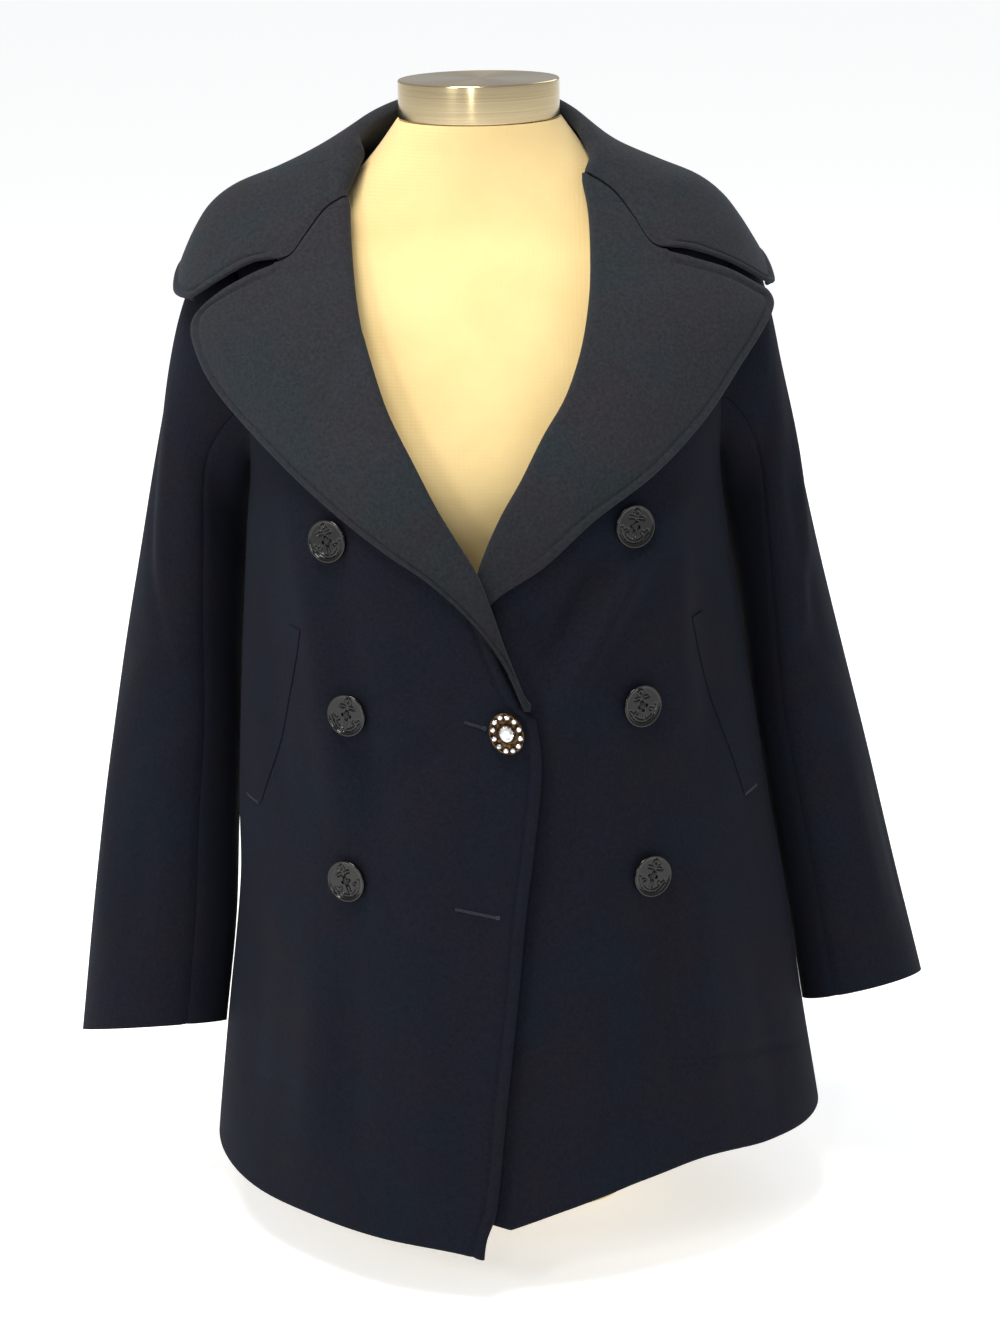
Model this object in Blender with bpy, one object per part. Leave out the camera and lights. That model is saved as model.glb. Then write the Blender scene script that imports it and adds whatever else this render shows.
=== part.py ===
"""Women's double-breasted pea coat on a tabletop dress form.

Metres, +Z up, the coat's front towards -Y, the wearer's right at -X. The origin is
the middle of the form's base, on the surface that it stands on. Every cloth piece is a
wall between two grids of points: one on a surface worked out from the tables of
sections below, one a cloth's thickness under it.
"""
import math

import bmesh
import bpy
from mathutils import Vector

# Cloth and seams.
CLOTH = 0.0028            # heavy wool melton with its turnings
SEAM_GAP = 0.0003         # between two pieces that are sewn together
HALF_GAP = SEAM_GAP / 2
GORGE_GAP = 0.0014        # the gorge seam runs over two curved faces
NECK_CLEAR = 0.0030       # the stand's foot above the neck edge of the panels
ROLL_CLEAR = 0.0030       # the panel's edge behind the lapel's roll
ROLL_RADIUS = 0.0070      # the most that a lapel's roll has
LAPEL_LYING = 0.0054      # a lapel's face above the panel under it
LAPEL_RISE = (0.50, 0.60) # the heights where the lapels leave the panels for the shoulders
ROLL_LEAD = 0.12          # the share of a row that gives the way across its roll
ARMHOLE_GAP = 0.0007      # the sleeve turns down in it, so its edges twist
OVERLAP_LIFT = 0.0095     # the right front clears the left front and its lapel
OVERLAP_RISE = (math.radians(-60), math.radians(-22))   # where that lift starts and is whole

# Fastenings.
BUTTON_RADIUS = 0.0145
BUTTON_THICK = 0.0042
BUTTON_RIM = 0.0016
BUTTON_DISH = 0.0014      # its face lies this far below its rim
BUTTON_BACK = 0.0123      # the radius of its flat back
BUTTON_STANDOFF = 0.0012  # the thread shank's length
JEWEL_HALF_WIDTH = 0.0112
JEWEL_HALF_HEIGHT = 0.0145
JEWEL_THICK = 0.0034
JEWEL_TILT = math.radians(20)
JEWEL_STONES = 12
JEWEL_EDGE = 0.0010       # the setting's bevel
STONE_INSET = 0.0025      # the stones' middles inside the setting's edge
STONE_RADIUS = 0.0018
CENTRE_STONE_RADIUS = 0.0048
CENTRE_STONE_STRETCH = 1.22
JEWEL_PLACE = (0.0032, 0.4080)    # across and up
BUTTON_PLACES = {                 # across and up, named by the side and row
    "right_top": (-0.1085, 0.5320),
    "right_middle": (-0.0980, 0.4150),
    "right_lower": (-0.1015, 0.2985),
    "left_top": (0.0893, 0.5385),
    "left_middle": (0.0931, 0.4160),
    "left_lower": (0.0990, 0.2968),
}

# Pocket welts: from the top end to the lower end, across and up.
POCKET_TOP = (0.1355, 0.4674)
POCKET_FOOT = (0.1745, 0.3300)
WELT_WIDTH = 0.012
WELT_THICK = 0.0016

# The armhole is an oval notch about the side seam.
ARMHOLE_MIDDLE = 0.636
ARMHOLE_HALF_HEIGHT = 0.076
ARMHOLE_FRONT = math.radians(20.6)
ARMHOLE_BACK = math.radians(22.0)
ARMHOLE_STEPS = 8                     # points from its foot to its head, each side
ARMHOLE_ACROSS = 0.17                 # from the middle of the body
SLEEVE_AROUND = 0.040                 # the least half width of a sleeve at its seams
SIDE = math.pi / 2
SHOULDER_TOP = 0.753                  # where the shoulder seam meets the neck
BACK_NECK = 0.766                     # the neck seam at the centre back
SLEEVE_SEAM = 5                       # forearm and elbow seams, in armhole steps from the head

# Neck cap.
CAP_RADIUS = 0.0550
CAP_FOOT = 0.7943
CAP_TOP = 0.8203
CAP_BEVEL = 0.0012
FORM_MIDDLE = -0.0070                 # the form's neck stands a little to the right
FORM_LEAN = (0.2, 0.6)                # the heights where it leans to there

# How finely the pieces are faceted.
FORM_SIDES = 30
FORM_LEVELS = 24
FORM_CROWDING = 1.35                  # the form's levels are closer towards its neck
SKIRT_ROWS = 8
CHEST_ROWS = 3
SHOULDER_ROWS = 3
FRONT_COLUMNS = 12
BACK_COLUMNS = 8
EDGE_TURN = 0.008                     # the front edge turns in to the roll over this height
ROLL_STEPS = 4                        # steps round a roll's half turn
FACE_COLUMNS = 6
LAPEL_ROWS = 16
COLLAR_STATIONS = 34
GORGE_REACH = 0.16                    # the share of the collar that bends to its gorge
BUTTON_SIDES = 20


class Table:
    """Rows of named columns, read smoothly between rows against the first column."""

    def __init__(self, columns, *rows):
        self.columns = columns
        self.rows = rows

    def read(self, name, place):
        column = self.columns.index(name)
        places = [row[0] for row in self.rows]
        values = [row[column] for row in self.rows]
        last = len(places) - 1
        if place <= places[0] or place >= places[last]:
            first = 0 if place <= places[0] else last - 1
            slope = (values[first + 1] - values[first]) / (places[first + 1] - places[first])
            base = 0 if place <= places[0] else last
            return values[base] + slope * (place - places[base])
        row = max(i for i in range(last) if places[i] <= place)
        step = places[row + 1] - places[row]
        along = (place - places[row]) / step

        def slope_at(i):
            before, after = max(i - 1, 0), min(i + 1, last)
            return (values[after] - values[before]) / (places[after] - places[before]) * step

        square, cube = along ** 2, along ** 3
        return ((2 * cube - 3 * square + 1) * values[row]
                + (cube - 2 * square + along) * slope_at(row)
                + (3 * square - 2 * cube) * values[row + 1]
                + (cube - square) * slope_at(row + 1))


# The coat's body, as level rings: half widths to its left and right of the middle,
# depths to its front and back, and how square each half of the ring is.
BODY = Table(
    ("height", "right_side", "left_side", "front", "back", "front_square", "back_square"),
    (0.020, 0.2180, 0.2360, 0.185, 0.161, 1.90, 2.1),
    (0.060, 0.2145, 0.2315, 0.183, 0.158, 1.90, 2.1),
    (0.145, 0.2045, 0.2180, 0.178, 0.152, 1.90, 2.1),
    (0.250, 0.1915, 0.2025, 0.172, 0.145, 1.92, 2.1),
    (0.310, 0.1895, 0.1915, 0.169, 0.141, 1.95, 2.1),
    (0.383, 0.1856, 0.1804, 0.165, 0.136, 2.00, 2.2),
    (0.450, 0.1810, 0.1700, 0.160, 0.132, 2.10, 2.2),
    (0.515, 0.1758, 0.1610, 0.154, 0.128, 2.30, 2.3),
    (0.560, 0.1710, 0.1560, 0.147, 0.125, 2.50, 2.3),
    (0.600, 0.1735, 0.1590, 0.138, 0.121, 2.60, 2.3),
    (0.650, 0.1810, 0.1670, 0.122, 0.112, 2.50, 2.3),
    (0.690, 0.1850, 0.1705, 0.096, 0.096, 2.30, 2.3),
    (0.712, 0.1820, 0.1680, 0.078, 0.082, 2.15, 2.2),
    (0.730, 0.1560, 0.1440, 0.065, 0.073, 2.05, 2.1),
    (0.748, 0.1170, 0.1050, 0.056, 0.067, 2.00, 2.0),
    (0.770, 0.0850, 0.0730, 0.048, 0.062, 2.00, 2.0),
)

# The surface that the lapels and the collar's fall lie on: over the body and round the
# sleeve heads, up to the roll at the back of the neck.
OVER = Table(
    ("height", "right_side", "left_side", "front", "back", "front_square", "back_square"),
    (0.420, 0.2000, 0.1950, 0.172, 0.150, 2.0, 2.1),
    (0.500, 0.1960, 0.1820, 0.165, 0.148, 2.1, 2.1),
    (0.560, 0.1980, 0.1820, 0.157, 0.143, 2.2, 2.1),
    (0.600, 0.2060, 0.1880, 0.148, 0.136, 2.2, 2.1),
    (0.640, 0.2210, 0.2000, 0.135, 0.127, 2.2, 2.1),
    (0.665, 0.2250, 0.2030, 0.123, 0.119, 2.2, 2.1),
    (0.685, 0.2200, 0.1935, 0.110, 0.111, 2.2, 2.1),
    (0.705, 0.2125, 0.1825, 0.093, 0.104, 2.1, 2.1),
    (0.725, 0.2025, 0.1700, 0.076, 0.098, 2.1, 2.1),
    (0.740, 0.1915, 0.1580, 0.064, 0.094, 2.0, 2.1),
    (0.752, 0.1745, 0.1420, 0.056, 0.092, 2.0, 2.0),
    (0.762, 0.1480, 0.1180, 0.051, 0.090, 2.0, 2.0),
    (0.775, 0.1200, 0.0890, 0.050, 0.087, 2.0, 2.0),
    (0.790, 0.0945, 0.0685, 0.047, 0.083, 2.0, 2.0),
    (0.803, 0.0760, 0.0550, 0.043, 0.078, 2.0, 2.0),
    (0.815, 0.0640, 0.0480, 0.040, 0.074, 2.0, 2.0),
)

# The dress form: one smooth body from its base to the neck.
FORM = Table(
    ("height", "right_side", "left_side", "front", "back", "front_square", "back_square"),
    (0.000, 0.084, 0.084, 0.045, 0.098, 2.0, 2.0),
    (0.020, 0.093, 0.093, 0.051, 0.104, 2.0, 2.0),
    (0.080, 0.121, 0.121, 0.077, 0.117, 2.0, 2.0),
    (0.160, 0.148, 0.148, 0.103, 0.125, 2.1, 2.1),
    (0.240, 0.153, 0.153, 0.110, 0.125, 2.1, 2.1),
    (0.330, 0.141, 0.141, 0.108, 0.113, 2.1, 2.1),
    (0.410, 0.131, 0.131, 0.104, 0.104, 2.1, 2.1),
    (0.490, 0.138, 0.138, 0.113, 0.103, 2.2, 2.1),
    (0.560, 0.147, 0.147, 0.124, 0.106, 2.2, 2.2),
    (0.620, 0.152, 0.152, 0.111, 0.104, 2.2, 2.2),
    (0.670, 0.155, 0.155, 0.088, 0.094, 2.2, 2.2),
    (0.700, 0.149, 0.149, 0.070, 0.080, 2.1, 2.2),
    (0.720, 0.130, 0.130, 0.058, 0.068, 2.0, 2.1),
    (0.740, 0.103, 0.103, 0.052, 0.059, 2.0, 2.0),
    (0.757, 0.086, 0.086, 0.050, 0.056, 2.0, 2.0),
    (0.775, 0.070, 0.070, 0.051, 0.054, 2.0, 2.0),
    (0.794, 0.056, 0.056, 0.0545, 0.0545, 2.0, 2.0),
)

# Hem height by the angle from the middle of the front.
HEM = Table(
    ("angle", "right", "left"),
    (0, 0.0290, 0.0520),
    (12, 0.0385, 0.0640),
    (28, 0.0430, 0.0770),
    (45, 0.0455, 0.0850),
    (62, 0.0455, 0.0780),
    (90, 0.0520, 0.0680),
    (120, 0.0560, 0.0650),
    (180, 0.0600, 0.0600),
)

# Front edges below the lapel: how far across, by height.
OVERLAP_EDGE = Table(
    ("height", "across"),
    (0.029, -0.0183),
    (0.048, -0.0158),
    (0.068, -0.0093),
    (0.143, -0.0010),
    (0.222, 0.0079),
    (0.287, 0.0145),
    (0.326, 0.0198),
    (0.386, 0.0255),
    (0.424, 0.0208),
)
UNDERLAP_EDGE = -0.0280

# Roll lines, where each lapel folds back, by height from the break up to the gorge.
RIGHT_ROLL = Table(
    ("height", "across"),
    (0.4240, 0.0208),
    (0.4440, 0.0125),
    (0.4651, 0.0042),
    (0.4912, -0.0045),
    (0.5157, -0.0139),
    (0.5386, -0.0278),
    (0.5586, -0.0398),
    (0.5892, -0.0556),
    (0.6200, -0.0715),
    (0.6525, -0.0825),
    (0.6758, -0.0888),
    (0.7063, -0.0932),
    (0.7296, -0.0951),
    (0.7507, -0.0947),
)
LEFT_ROLL = Table(
    ("height", "across"),
    (0.4700, -0.0270),
    (0.5177, -0.0125),
    (0.5484, 0.0011),
    (0.5743, 0.0164),
    (0.6026, 0.0316),
    (0.6260, 0.0465),
    (0.6505, 0.0562),
    (0.6736, 0.0620),
    (0.6987, 0.0654),
    (0.7230, 0.0662),
    (0.7423, 0.0655),
    (0.7615, 0.0629),
)

# Lapel outer edges, by the share of the way from the break to the tip.
RIGHT_LAPEL_EDGE = Table(
    ("share", "across", "height"),
    (0.00, 0.0155, 0.4235),
    (0.08, 0.0020, 0.4560),
    (0.15, -0.0165, 0.4822),
    (0.24, -0.0450, 0.5090),
    (0.34, -0.0779, 0.5305),
    (0.46, -0.1197, 0.5599),
    (0.60, -0.1621, 0.5969),
    (0.72, -0.1900, 0.6260),
    (0.82, -0.2025, 0.6510),
    (0.90, -0.2040, 0.6660),
    (1.00, -0.1960, 0.6785),
)
LEFT_LAPEL_EDGE = Table(
    ("share", "across", "height"),
    (0.00, -0.0210, 0.4690),
    (0.10, -0.0032, 0.4953),
    (0.22, 0.0300, 0.5166),
    (0.34, 0.0650, 0.5460),
    (0.48, 0.1069, 0.5734),
    (0.62, 0.1419, 0.6051),
    (0.74, 0.1670, 0.6370),
    (0.84, 0.1830, 0.6570),
    (0.92, 0.1905, 0.6690),
    (1.00, 0.1880, 0.6790),
)

# Gorge seam and notch, from the roll out to the tips; the lapel's side lies lower by
# the notch's opening.
RIGHT_GORGE = Table(
    ("share", "across", "height", "opening"),
    (0.00, -0.0970, 0.7510, 0.0),
    (0.16, -0.1120, 0.7420, 0.0),
    (0.30, -0.1250, 0.7265, 0.0),
    (0.40, -0.1360, 0.7135, 0.0),
    (0.60, -0.1610, 0.7075, 0.0055),
    (0.80, -0.1840, 0.6955, 0.0060),
    (1.00, -0.2060, 0.6810, 0.0075),
)
LEFT_GORGE = Table(
    ("share", "across", "height", "opening"),
    (0.00, 0.0640, 0.7630, 0.0),
    (0.16, 0.0820, 0.7510, 0.0),
    (0.30, 0.0950, 0.7350, 0.0),
    (0.42, 0.1080, 0.7170, 0.0),
    (0.60, 0.1330, 0.7110, 0.0035),
    (0.80, 0.1610, 0.7000, 0.0035),
    (1.00, 0.1900, 0.6820, 0.0050),
)

# The collar, by the share of the way round from its right end to its left end: the
# angle and height of its roll and of its outer edge, the angle of the neck seam under
# it, and the radius of its roll.
COLLAR = Table(
    ("share", "roll_angle", "roll_height", "edge_angle", "edge_height", "seam_angle", "radius"),
    (0.00, -64, 0.7510, -78, 0.6810, -77, 0.0070),
    (0.07, -71, 0.7680, -84, 0.6815, -81, 0.0068),
    (0.14, -77, 0.7805, -89, 0.6890, -86, 0.0064),
    (0.21, -85, 0.7920, -95, 0.6945, -94, 0.0060),
    (0.30, -110, 0.8020, -112, 0.6930, -115, 0.0055),
    (0.40, -147, 0.8090, -140, 0.6830, -147, 0.0052),
    (0.50, -180, 0.8110, -180, 0.6780, -180, 0.0052),
    (0.60, -206, 0.8080, -220, 0.6830, -214, 0.0052),
    (0.70, -243, 0.8010, -248, 0.6930, -246, 0.0055),
    (0.79, -277, 0.7920, -265, 0.6945, -268, 0.0060),
    (0.86, -288, 0.7815, -271, 0.6890, -281, 0.0064),
    (0.93, -296, 0.7720, -277, 0.6815, -290, 0.0068),
    (1.00, -303, 0.7625, -282, 0.6815, -297, 0.0070),
)

# Sleeve tubes below the armhole, as rings: the outer and inner points, the middle and
# half depth front to back, how far the front of the ring stands above its middle, and
# how far it swings across.
RIGHT_SLEEVE = Table(
    ("share", "outer", "outer_height", "inner", "inner_height", "middle", "depth", "lift", "swing"),
    (0.08, -0.2030, 0.6980, -0.1755, 0.5400, 0.010, 0.0600, 0.000, 0.000),
    (0.16, -0.2170, 0.6570, -0.1780, 0.5150, 0.022, 0.0620, 0.000, 0.000),
    (0.28, -0.2335, 0.5890, -0.1795, 0.4750, 0.034, 0.0660, 0.000, 0.000),
    (0.42, -0.2535, 0.5000, -0.1840, 0.4200, 0.042, 0.0680, 0.000, 0.002),
    (0.56, -0.2715, 0.4150, -0.1890, 0.3550, 0.042, 0.0670, 0.004, 0.004),
    (0.70, -0.2885, 0.3170, -0.1960, 0.2800, 0.037, 0.0640, 0.009, 0.006),
    (0.84, -0.3020, 0.2290, -0.2010, 0.2100, 0.030, 0.0600, 0.015, 0.008),
    (1.00, -0.3160, 0.1235, -0.2090, 0.1290, 0.022, 0.0560, 0.021, 0.010),
)
LEFT_SLEEVE = Table(
    ("share", "outer", "outer_height", "inner", "inner_height", "middle", "depth", "lift", "swing"),
    (0.08, 0.1810, 0.6960, 0.1605, 0.5400, 0.010, 0.0600, 0.000, 0.000),
    (0.16, 0.1900, 0.6570, 0.1630, 0.5150, 0.022, 0.0620, 0.000, 0.000),
    (0.28, 0.2045, 0.5900, 0.1680, 0.4750, 0.034, 0.0660, 0.000, 0.000),
    (0.42, 0.2255, 0.5000, 0.1755, 0.4200, 0.042, 0.0680, 0.000, -0.002),
    (0.56, 0.2465, 0.4150, 0.1855, 0.3500, 0.044, 0.0670, 0.004, -0.004),
    (0.70, 0.2690, 0.3250, 0.1975, 0.2780, 0.044, 0.0650, 0.008, -0.006),
    (0.84, 0.2890, 0.2400, 0.2100, 0.2090, 0.041, 0.0620, 0.012, -0.008),
    (1.00, 0.3100, 0.1530, 0.2215, 0.1340, 0.035, 0.0580, 0.016, -0.010),
)


def eased(low, high, value):
    """0 below low, 1 above high, and smooth between."""
    share = min(max((value - low) / (high - low), 0), 1)
    return share * share * (3 - 2 * share)


def ring_depth(rings, across, height):
    """How far the front of a ring stands from the side plane at a distance across."""
    side = rings.read("right_side" if across < 0 else "left_side", height)
    square = rings.read("front_square", height)
    left_over = max(1 - min(abs(across) / side, 1) ** square, 0)
    return rings.read("front", height) * left_over ** (1 / square)


def on_ring(rings, angle, height):
    """The point of a level ring at an angle: 0 in front, a quarter turn at its left."""
    across, ahead = math.sin(angle), math.cos(angle)
    side = rings.read("right_side" if across < 0 else "left_side", height)
    depth = rings.read("front" if ahead > 0 else "back", height)
    square = rings.read("front_square" if ahead > 0 else "back_square", height)
    radius = (abs(across / side) ** square + abs(ahead / depth) ** square) ** (-1 / square)
    return Vector((radius * across, -radius * ahead, height))


def angle_across(rings, across, height):
    return math.atan2(across, ring_depth(rings, across, height))


def outward(surface, u, v, step=0.0005):
    """The unit normal of surface(u, v)."""
    along_u = surface(u + step, v) - surface(u - step, v)
    along_v = surface(u, v + step) - surface(u, v - step)
    return along_u.cross(along_v).normalized()


def body_normal(angle, height):
    return outward(lambda a, h: on_ring(BODY, a, h), angle, height)


def finish(name, mesh_data, material):
    mesh = bpy.data.meshes.new(name)
    mesh_data.normal_update()
    mesh_data.to_mesh(mesh)
    mesh_data.free()
    mesh.materials.append(material)
    mesh.shade_smooth()
    mesh.set_sharp_from_angle(angle=math.radians(35))
    piece = bpy.data.objects.new(name, mesh)
    bpy.context.scene.collection.objects.link(piece)
    return piece


def wall(name, outer, inner, material):
    """A closed wall between two grids of points, rows of columns, outer seen from outside."""
    shape = bmesh.new()
    outside = [[shape.verts.new(point) for point in row] for row in outer]
    inside = [[shape.verts.new(point) for point in row] for row in inner]
    rows, columns = len(outer), len(outer[0])
    for r in range(rows - 1):
        for c in range(columns - 1):
            quad = ((r, c), (r, c + 1), (r + 1, c + 1), (r + 1, c))
            shape.faces.new([outside[i][j] for i, j in quad])
            shape.faces.new([inside[i][j] for i, j in reversed(quad)])
    rim = [(0, c) for c in range(columns)]
    rim += [(r, columns - 1) for r in range(1, rows)]
    rim += [(rows - 1, c) for c in range(columns - 2, -1, -1)]
    rim += [(r, 0) for r in range(rows - 2, 0, -1)]
    for here, there in zip(rim, rim[1:] + rim[:1]):
        corners = [grid[r][c] for grid, (r, c) in
                   ((outside, there), (outside, here), (inside, here), (inside, there))]
        # One diagonal for both pieces of a seam, so that their twisted edges stay apart.
        first = 1 if here < there else 0
        shape.faces.new((corners[first], corners[first + 1], corners[first + 2]))
        shape.faces.new((corners[first], corners[first + 2], corners[(first + 3) % 4]))
    if shape.calc_volume(signed=True) < 0:
        bmesh.ops.reverse_faces(shape, faces=shape.faces)
    return finish(name, shape, material)


def material(name, colour, roughness, metallic=0.0):
    made = bpy.data.materials.new(name)
    made.use_nodes = True
    shader = made.node_tree.nodes["Principled BSDF"]
    shader.inputs["Base Color"].default_value = (*colour, 1)
    shader.inputs["Roughness"].default_value = roughness
    shader.inputs["Metallic"].default_value = metallic
    made.diffuse_color = (*colour, 1)
    return made


# ---- Body panels ---------------------------------------------------------------------

def overlap_lift(angle):
    return OVERLAP_LIFT * eased(*OVERLAP_RISE, angle)


def armhole_angle(height, reach):
    """How far the armhole's edge is from the side seam at a height."""
    up = (height - ARMHOLE_MIDDLE) / ARMHOLE_HALF_HEIGHT
    return reach * math.sqrt(max(1 - up * up, 0))


def panel_rows(waist):
    """Rows up a panel: shares of the skirt below the waist row, then true heights."""
    foot = ARMHOLE_MIDDLE - ARMHOLE_HALF_HEIGHT
    skirt = [("skirt", row / SKIRT_ROWS) for row in range(SKIRT_ROWS)]
    skirt += [("height", waist), ("height", waist + EDGE_TURN)]
    chest = [("height", waist + EDGE_TURN + (foot - waist - EDGE_TURN) * row / CHEST_ROWS)
             for row in range(1, CHEST_ROWS)]
    arm = [
        ("height", ARMHOLE_MIDDLE - ARMHOLE_HALF_HEIGHT * math.cos(math.pi * row / ARMHOLE_STEPS))
        for row in range(ARMHOLE_STEPS + 1)
    ]
    shoulder = [("shoulder", row / SHOULDER_ROWS) for row in range(1, SHOULDER_ROWS + 1)]
    return skirt + chest + arm + shoulder


def lapel_lift(side, across, height):
    """How far a lapel's face stands out from the panel that it lies on."""
    over = ring_depth(OVER, across, height) - ring_depth(BODY, across, height)
    if side == "right":
        over -= overlap_lift(angle_across(BODY, across, height))
    return LAPEL_LYING + max(over - LAPEL_LYING, 0) * eased(*LAPEL_RISE, height)


def roll_radius(side, height):
    roll = RIGHT_ROLL if side == "right" else LEFT_ROLL
    return min((lapel_lift(side, roll.read("across", height), height) + CLOTH) / 2, ROLL_RADIUS)


def front_edge(side, height):
    """The angle of a front panel's free edge, which the lapel's roll goes round."""
    roll = RIGHT_ROLL if side == "right" else LEFT_ROLL
    outward_sign = -1 if side == "right" else 1
    if height < roll.rows[0][0]:
        if side == "right":
            return angle_across(BODY, OVERLAP_EDGE.read("across", height), height)
        return angle_across(BODY, UNDERLAP_EDGE, height)
    step = 0.004
    slope = (roll.read("across", height + step) - roll.read("across", height - step)) / (2 * step)
    back = (roll_radius(side, height) + ROLL_CLEAR) * math.hypot(1, slope)
    return angle_across(BODY, roll.read("across", height) + outward_sign * back, height)


def front_panel(side, wool):
    sign = -1 if side == "right" else 1
    columns = FRONT_COLUMNS
    waist = (RIGHT_ROLL if side == "right" else LEFT_ROLL).rows[0][0] - EDGE_TURN
    head = ARMHOLE_MIDDLE + ARMHOLE_HALF_HEIGHT
    outer, inner = [], []
    for kind, value in panel_rows(waist):
        outer_row, inner_row = [], []
        for column in range(columns + 1):
            across = column / columns
            if kind == "skirt":
                height = waist * value
                for _ in range(3):
                    edge = front_edge(side, height)
                    angle = edge + (sign * SIDE - edge) * across
                    bottom = HEM.read(side, math.degrees(abs(angle)))
                    height = bottom + (waist - bottom) * value
            else:
                height = value if kind == "height" else head + (SHOULDER_TOP - head) * value
                edge = front_edge(side, height)
                arm = armhole_angle(height, ARMHOLE_FRONT)
                angle = edge + (sign * (SIDE - arm) - edge) * across
            point = on_ring(BODY, angle, height)
            normal = body_normal(angle, height)
            if side == "right":
                point += normal * overlap_lift(angle)
            under = point - normal * CLOTH
            if column == columns and abs(point.y) < 0.001:
                point.y = under.y = -HALF_GAP
            outer_row.append(point)
            inner_row.append(under)
        outer.append(outer_row)
        inner.append(inner_row)
    return wall("front_" + side, outer, inner, wool)


def back_panel(side, wool):
    sign = -1 if side == "right" else 1
    columns = BACK_COLUMNS
    waist = LEFT_ROLL.rows[0][0] - EDGE_TURN
    head = ARMHOLE_MIDDLE + ARMHOLE_HALF_HEIGHT
    outer, inner = [], []
    for kind, value in panel_rows(waist):
        outer_row, inner_row = [], []
        for column in range(columns + 1):
            across = column / columns
            if kind == "skirt":
                angle = sign * (SIDE + (math.pi - SIDE) * across)
                bottom = HEM.read(side, math.degrees(abs(angle)))
                height = bottom + (waist - bottom) * value
            else:
                top = SHOULDER_TOP + (BACK_NECK - SHOULDER_TOP) * eased(0, 1, across)
                height = value if kind == "height" else head + (top - head) * value
                arm = armhole_angle(height, ARMHOLE_BACK)
                angle = sign * (SIDE + arm + (math.pi - SIDE - arm) * across)
            point = on_ring(BODY, angle, height)
            under = point - body_normal(angle, height) * CLOTH
            if column == 0 and abs(point.y) < 0.001:
                point.y = under.y = HALF_GAP
            if column == columns:
                point.x = under.x = sign * HALF_GAP
            outer_row.append(point)
            inner_row.append(under)
        outer.append(outer_row)
        inner.append(inner_row)
    return wall("back_" + side, outer, inner, wool)


# ---- Sleeves -------------------------------------------------------------------------

def armhole_point(side, turn, depth):
    """A point of the armhole's edge, a gap inside it: turn 0 at its head.

    Under the cloth is straight in at the head, where the sleeve runs on from the
    shoulder, and towards the armhole's middle at its foot, where the sleeve turns down.
    """
    sign = -1 if side == "right" else 1
    height = ARMHOLE_MIDDLE + (ARMHOLE_HALF_HEIGHT - ARMHOLE_GAP) * math.cos(turn)
    forward = math.sin(turn)
    reach = (ARMHOLE_FRONT if forward > 0 else ARMHOLE_BACK) - ARMHOLE_GAP / ARMHOLE_ACROSS
    angle = sign * (SIDE - reach * forward)
    point = on_ring(BODY, angle, height)
    inward = (on_ring(BODY, sign * SIDE, ARMHOLE_MIDDLE) - point).normalized()
    under = (-body_normal(angle, height)).lerp(inward, (1 - math.cos(turn)) / 2)
    return point + under.normalized() * depth


def tube_point(table, share, turn, depth):
    """A point of the sleeve's tube: turn 0 at its outer side, a quarter turn in front."""
    outer = Vector((table.read("outer", share), 0, table.read("outer_height", share)))
    inner = Vector((table.read("inner", share), 0, table.read("inner_height", share)))
    half = (outer - inner) / 2
    half -= half.normalized() * depth
    middle = (outer + inner) / 2 + Vector((0, table.read("middle", share), 0))
    ahead = Vector((
        table.read("swing", share), depth - table.read("depth", share), table.read("lift", share)))
    return middle + half * math.cos(turn) + ahead * math.sin(turn)


def sleeve_point(side, share, turn, depth):
    table = RIGHT_SLEEVE if side == "right" else LEFT_SLEEVE
    tube = tube_point(table, max(share, table.rows[0][0]), turn, depth)
    if share >= table.rows[0][0]:
        return tube
    part = share / table.rows[0][0]
    return armhole_point(side, turn, depth).lerp(tube, part)


SLEEVE_SHARES = (0, 0.08, 0.16, 0.24, 0.33, 0.42, 0.52, 0.62, 0.72, 0.82, 0.91, 1.0)


def sleeve_piece(side, name, first_step, last_step, wool):
    """The stretch of a sleeve between two steps round it, in armhole steps."""
    step = math.pi / ARMHOLE_STEPS
    gap = HALF_GAP / SLEEVE_AROUND
    outer, inner = [], []
    for share in SLEEVE_SHARES:
        outer_row, inner_row = [], []
        for place in range(first_step, last_step + 1):
            turn = place * step
            turn += gap * ((place == first_step) - (place == last_step))
            outer_row.append(sleeve_point(side, share, turn, 0))
            inner_row.append(sleeve_point(side, share, turn, CLOTH))
        outer.append(outer_row)
        inner.append(inner_row)
    return wall(name, outer, inner, wool)


# ---- Lapels and collar ---------------------------------------------------------------

def lapel_outline(side, u, v):
    """Across and up, u from the roll to the outer edge and v from the break to the gorge."""
    roll, edge, gorge = (
        (RIGHT_ROLL, RIGHT_LAPEL_EDGE, RIGHT_GORGE) if side == "right"
        else (LEFT_ROLL, LEFT_LAPEL_EDGE, LEFT_GORGE)
    )

    def rolled(share):
        height = roll.rows[0][0] + (gorge.rows[0][2] - GORGE_GAP - roll.rows[0][0]) * share
        return Vector((roll.read("across", height), height))

    def edged(share):
        return Vector((edge.read("across", share), edge.read("height", share)))

    def topped(share):
        drop = gorge.read("opening", share) + GORGE_GAP
        point = Vector((gorge.read("across", share), gorge.read("height", share) - drop))
        tip_drop = gorge.read("opening", 1) + GORGE_GAP
        tip = Vector((gorge.read("across", 1), gorge.read("height", 1) - tip_drop))
        start = Vector((gorge.read("across", 0), gorge.read("height", 0) - GORGE_GAP))
        return point + (edged(1) - tip) * share ** 4 + (rolled(1) - start) * (1 - share) ** 4

    patch = rolled(v).lerp(edged(v), u) + rolled(0).lerp(edged(0), u).lerp(topped(u), v)
    return patch - rolled(0).lerp(edged(0), u).lerp(rolled(1).lerp(edged(1), u), v)


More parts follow.
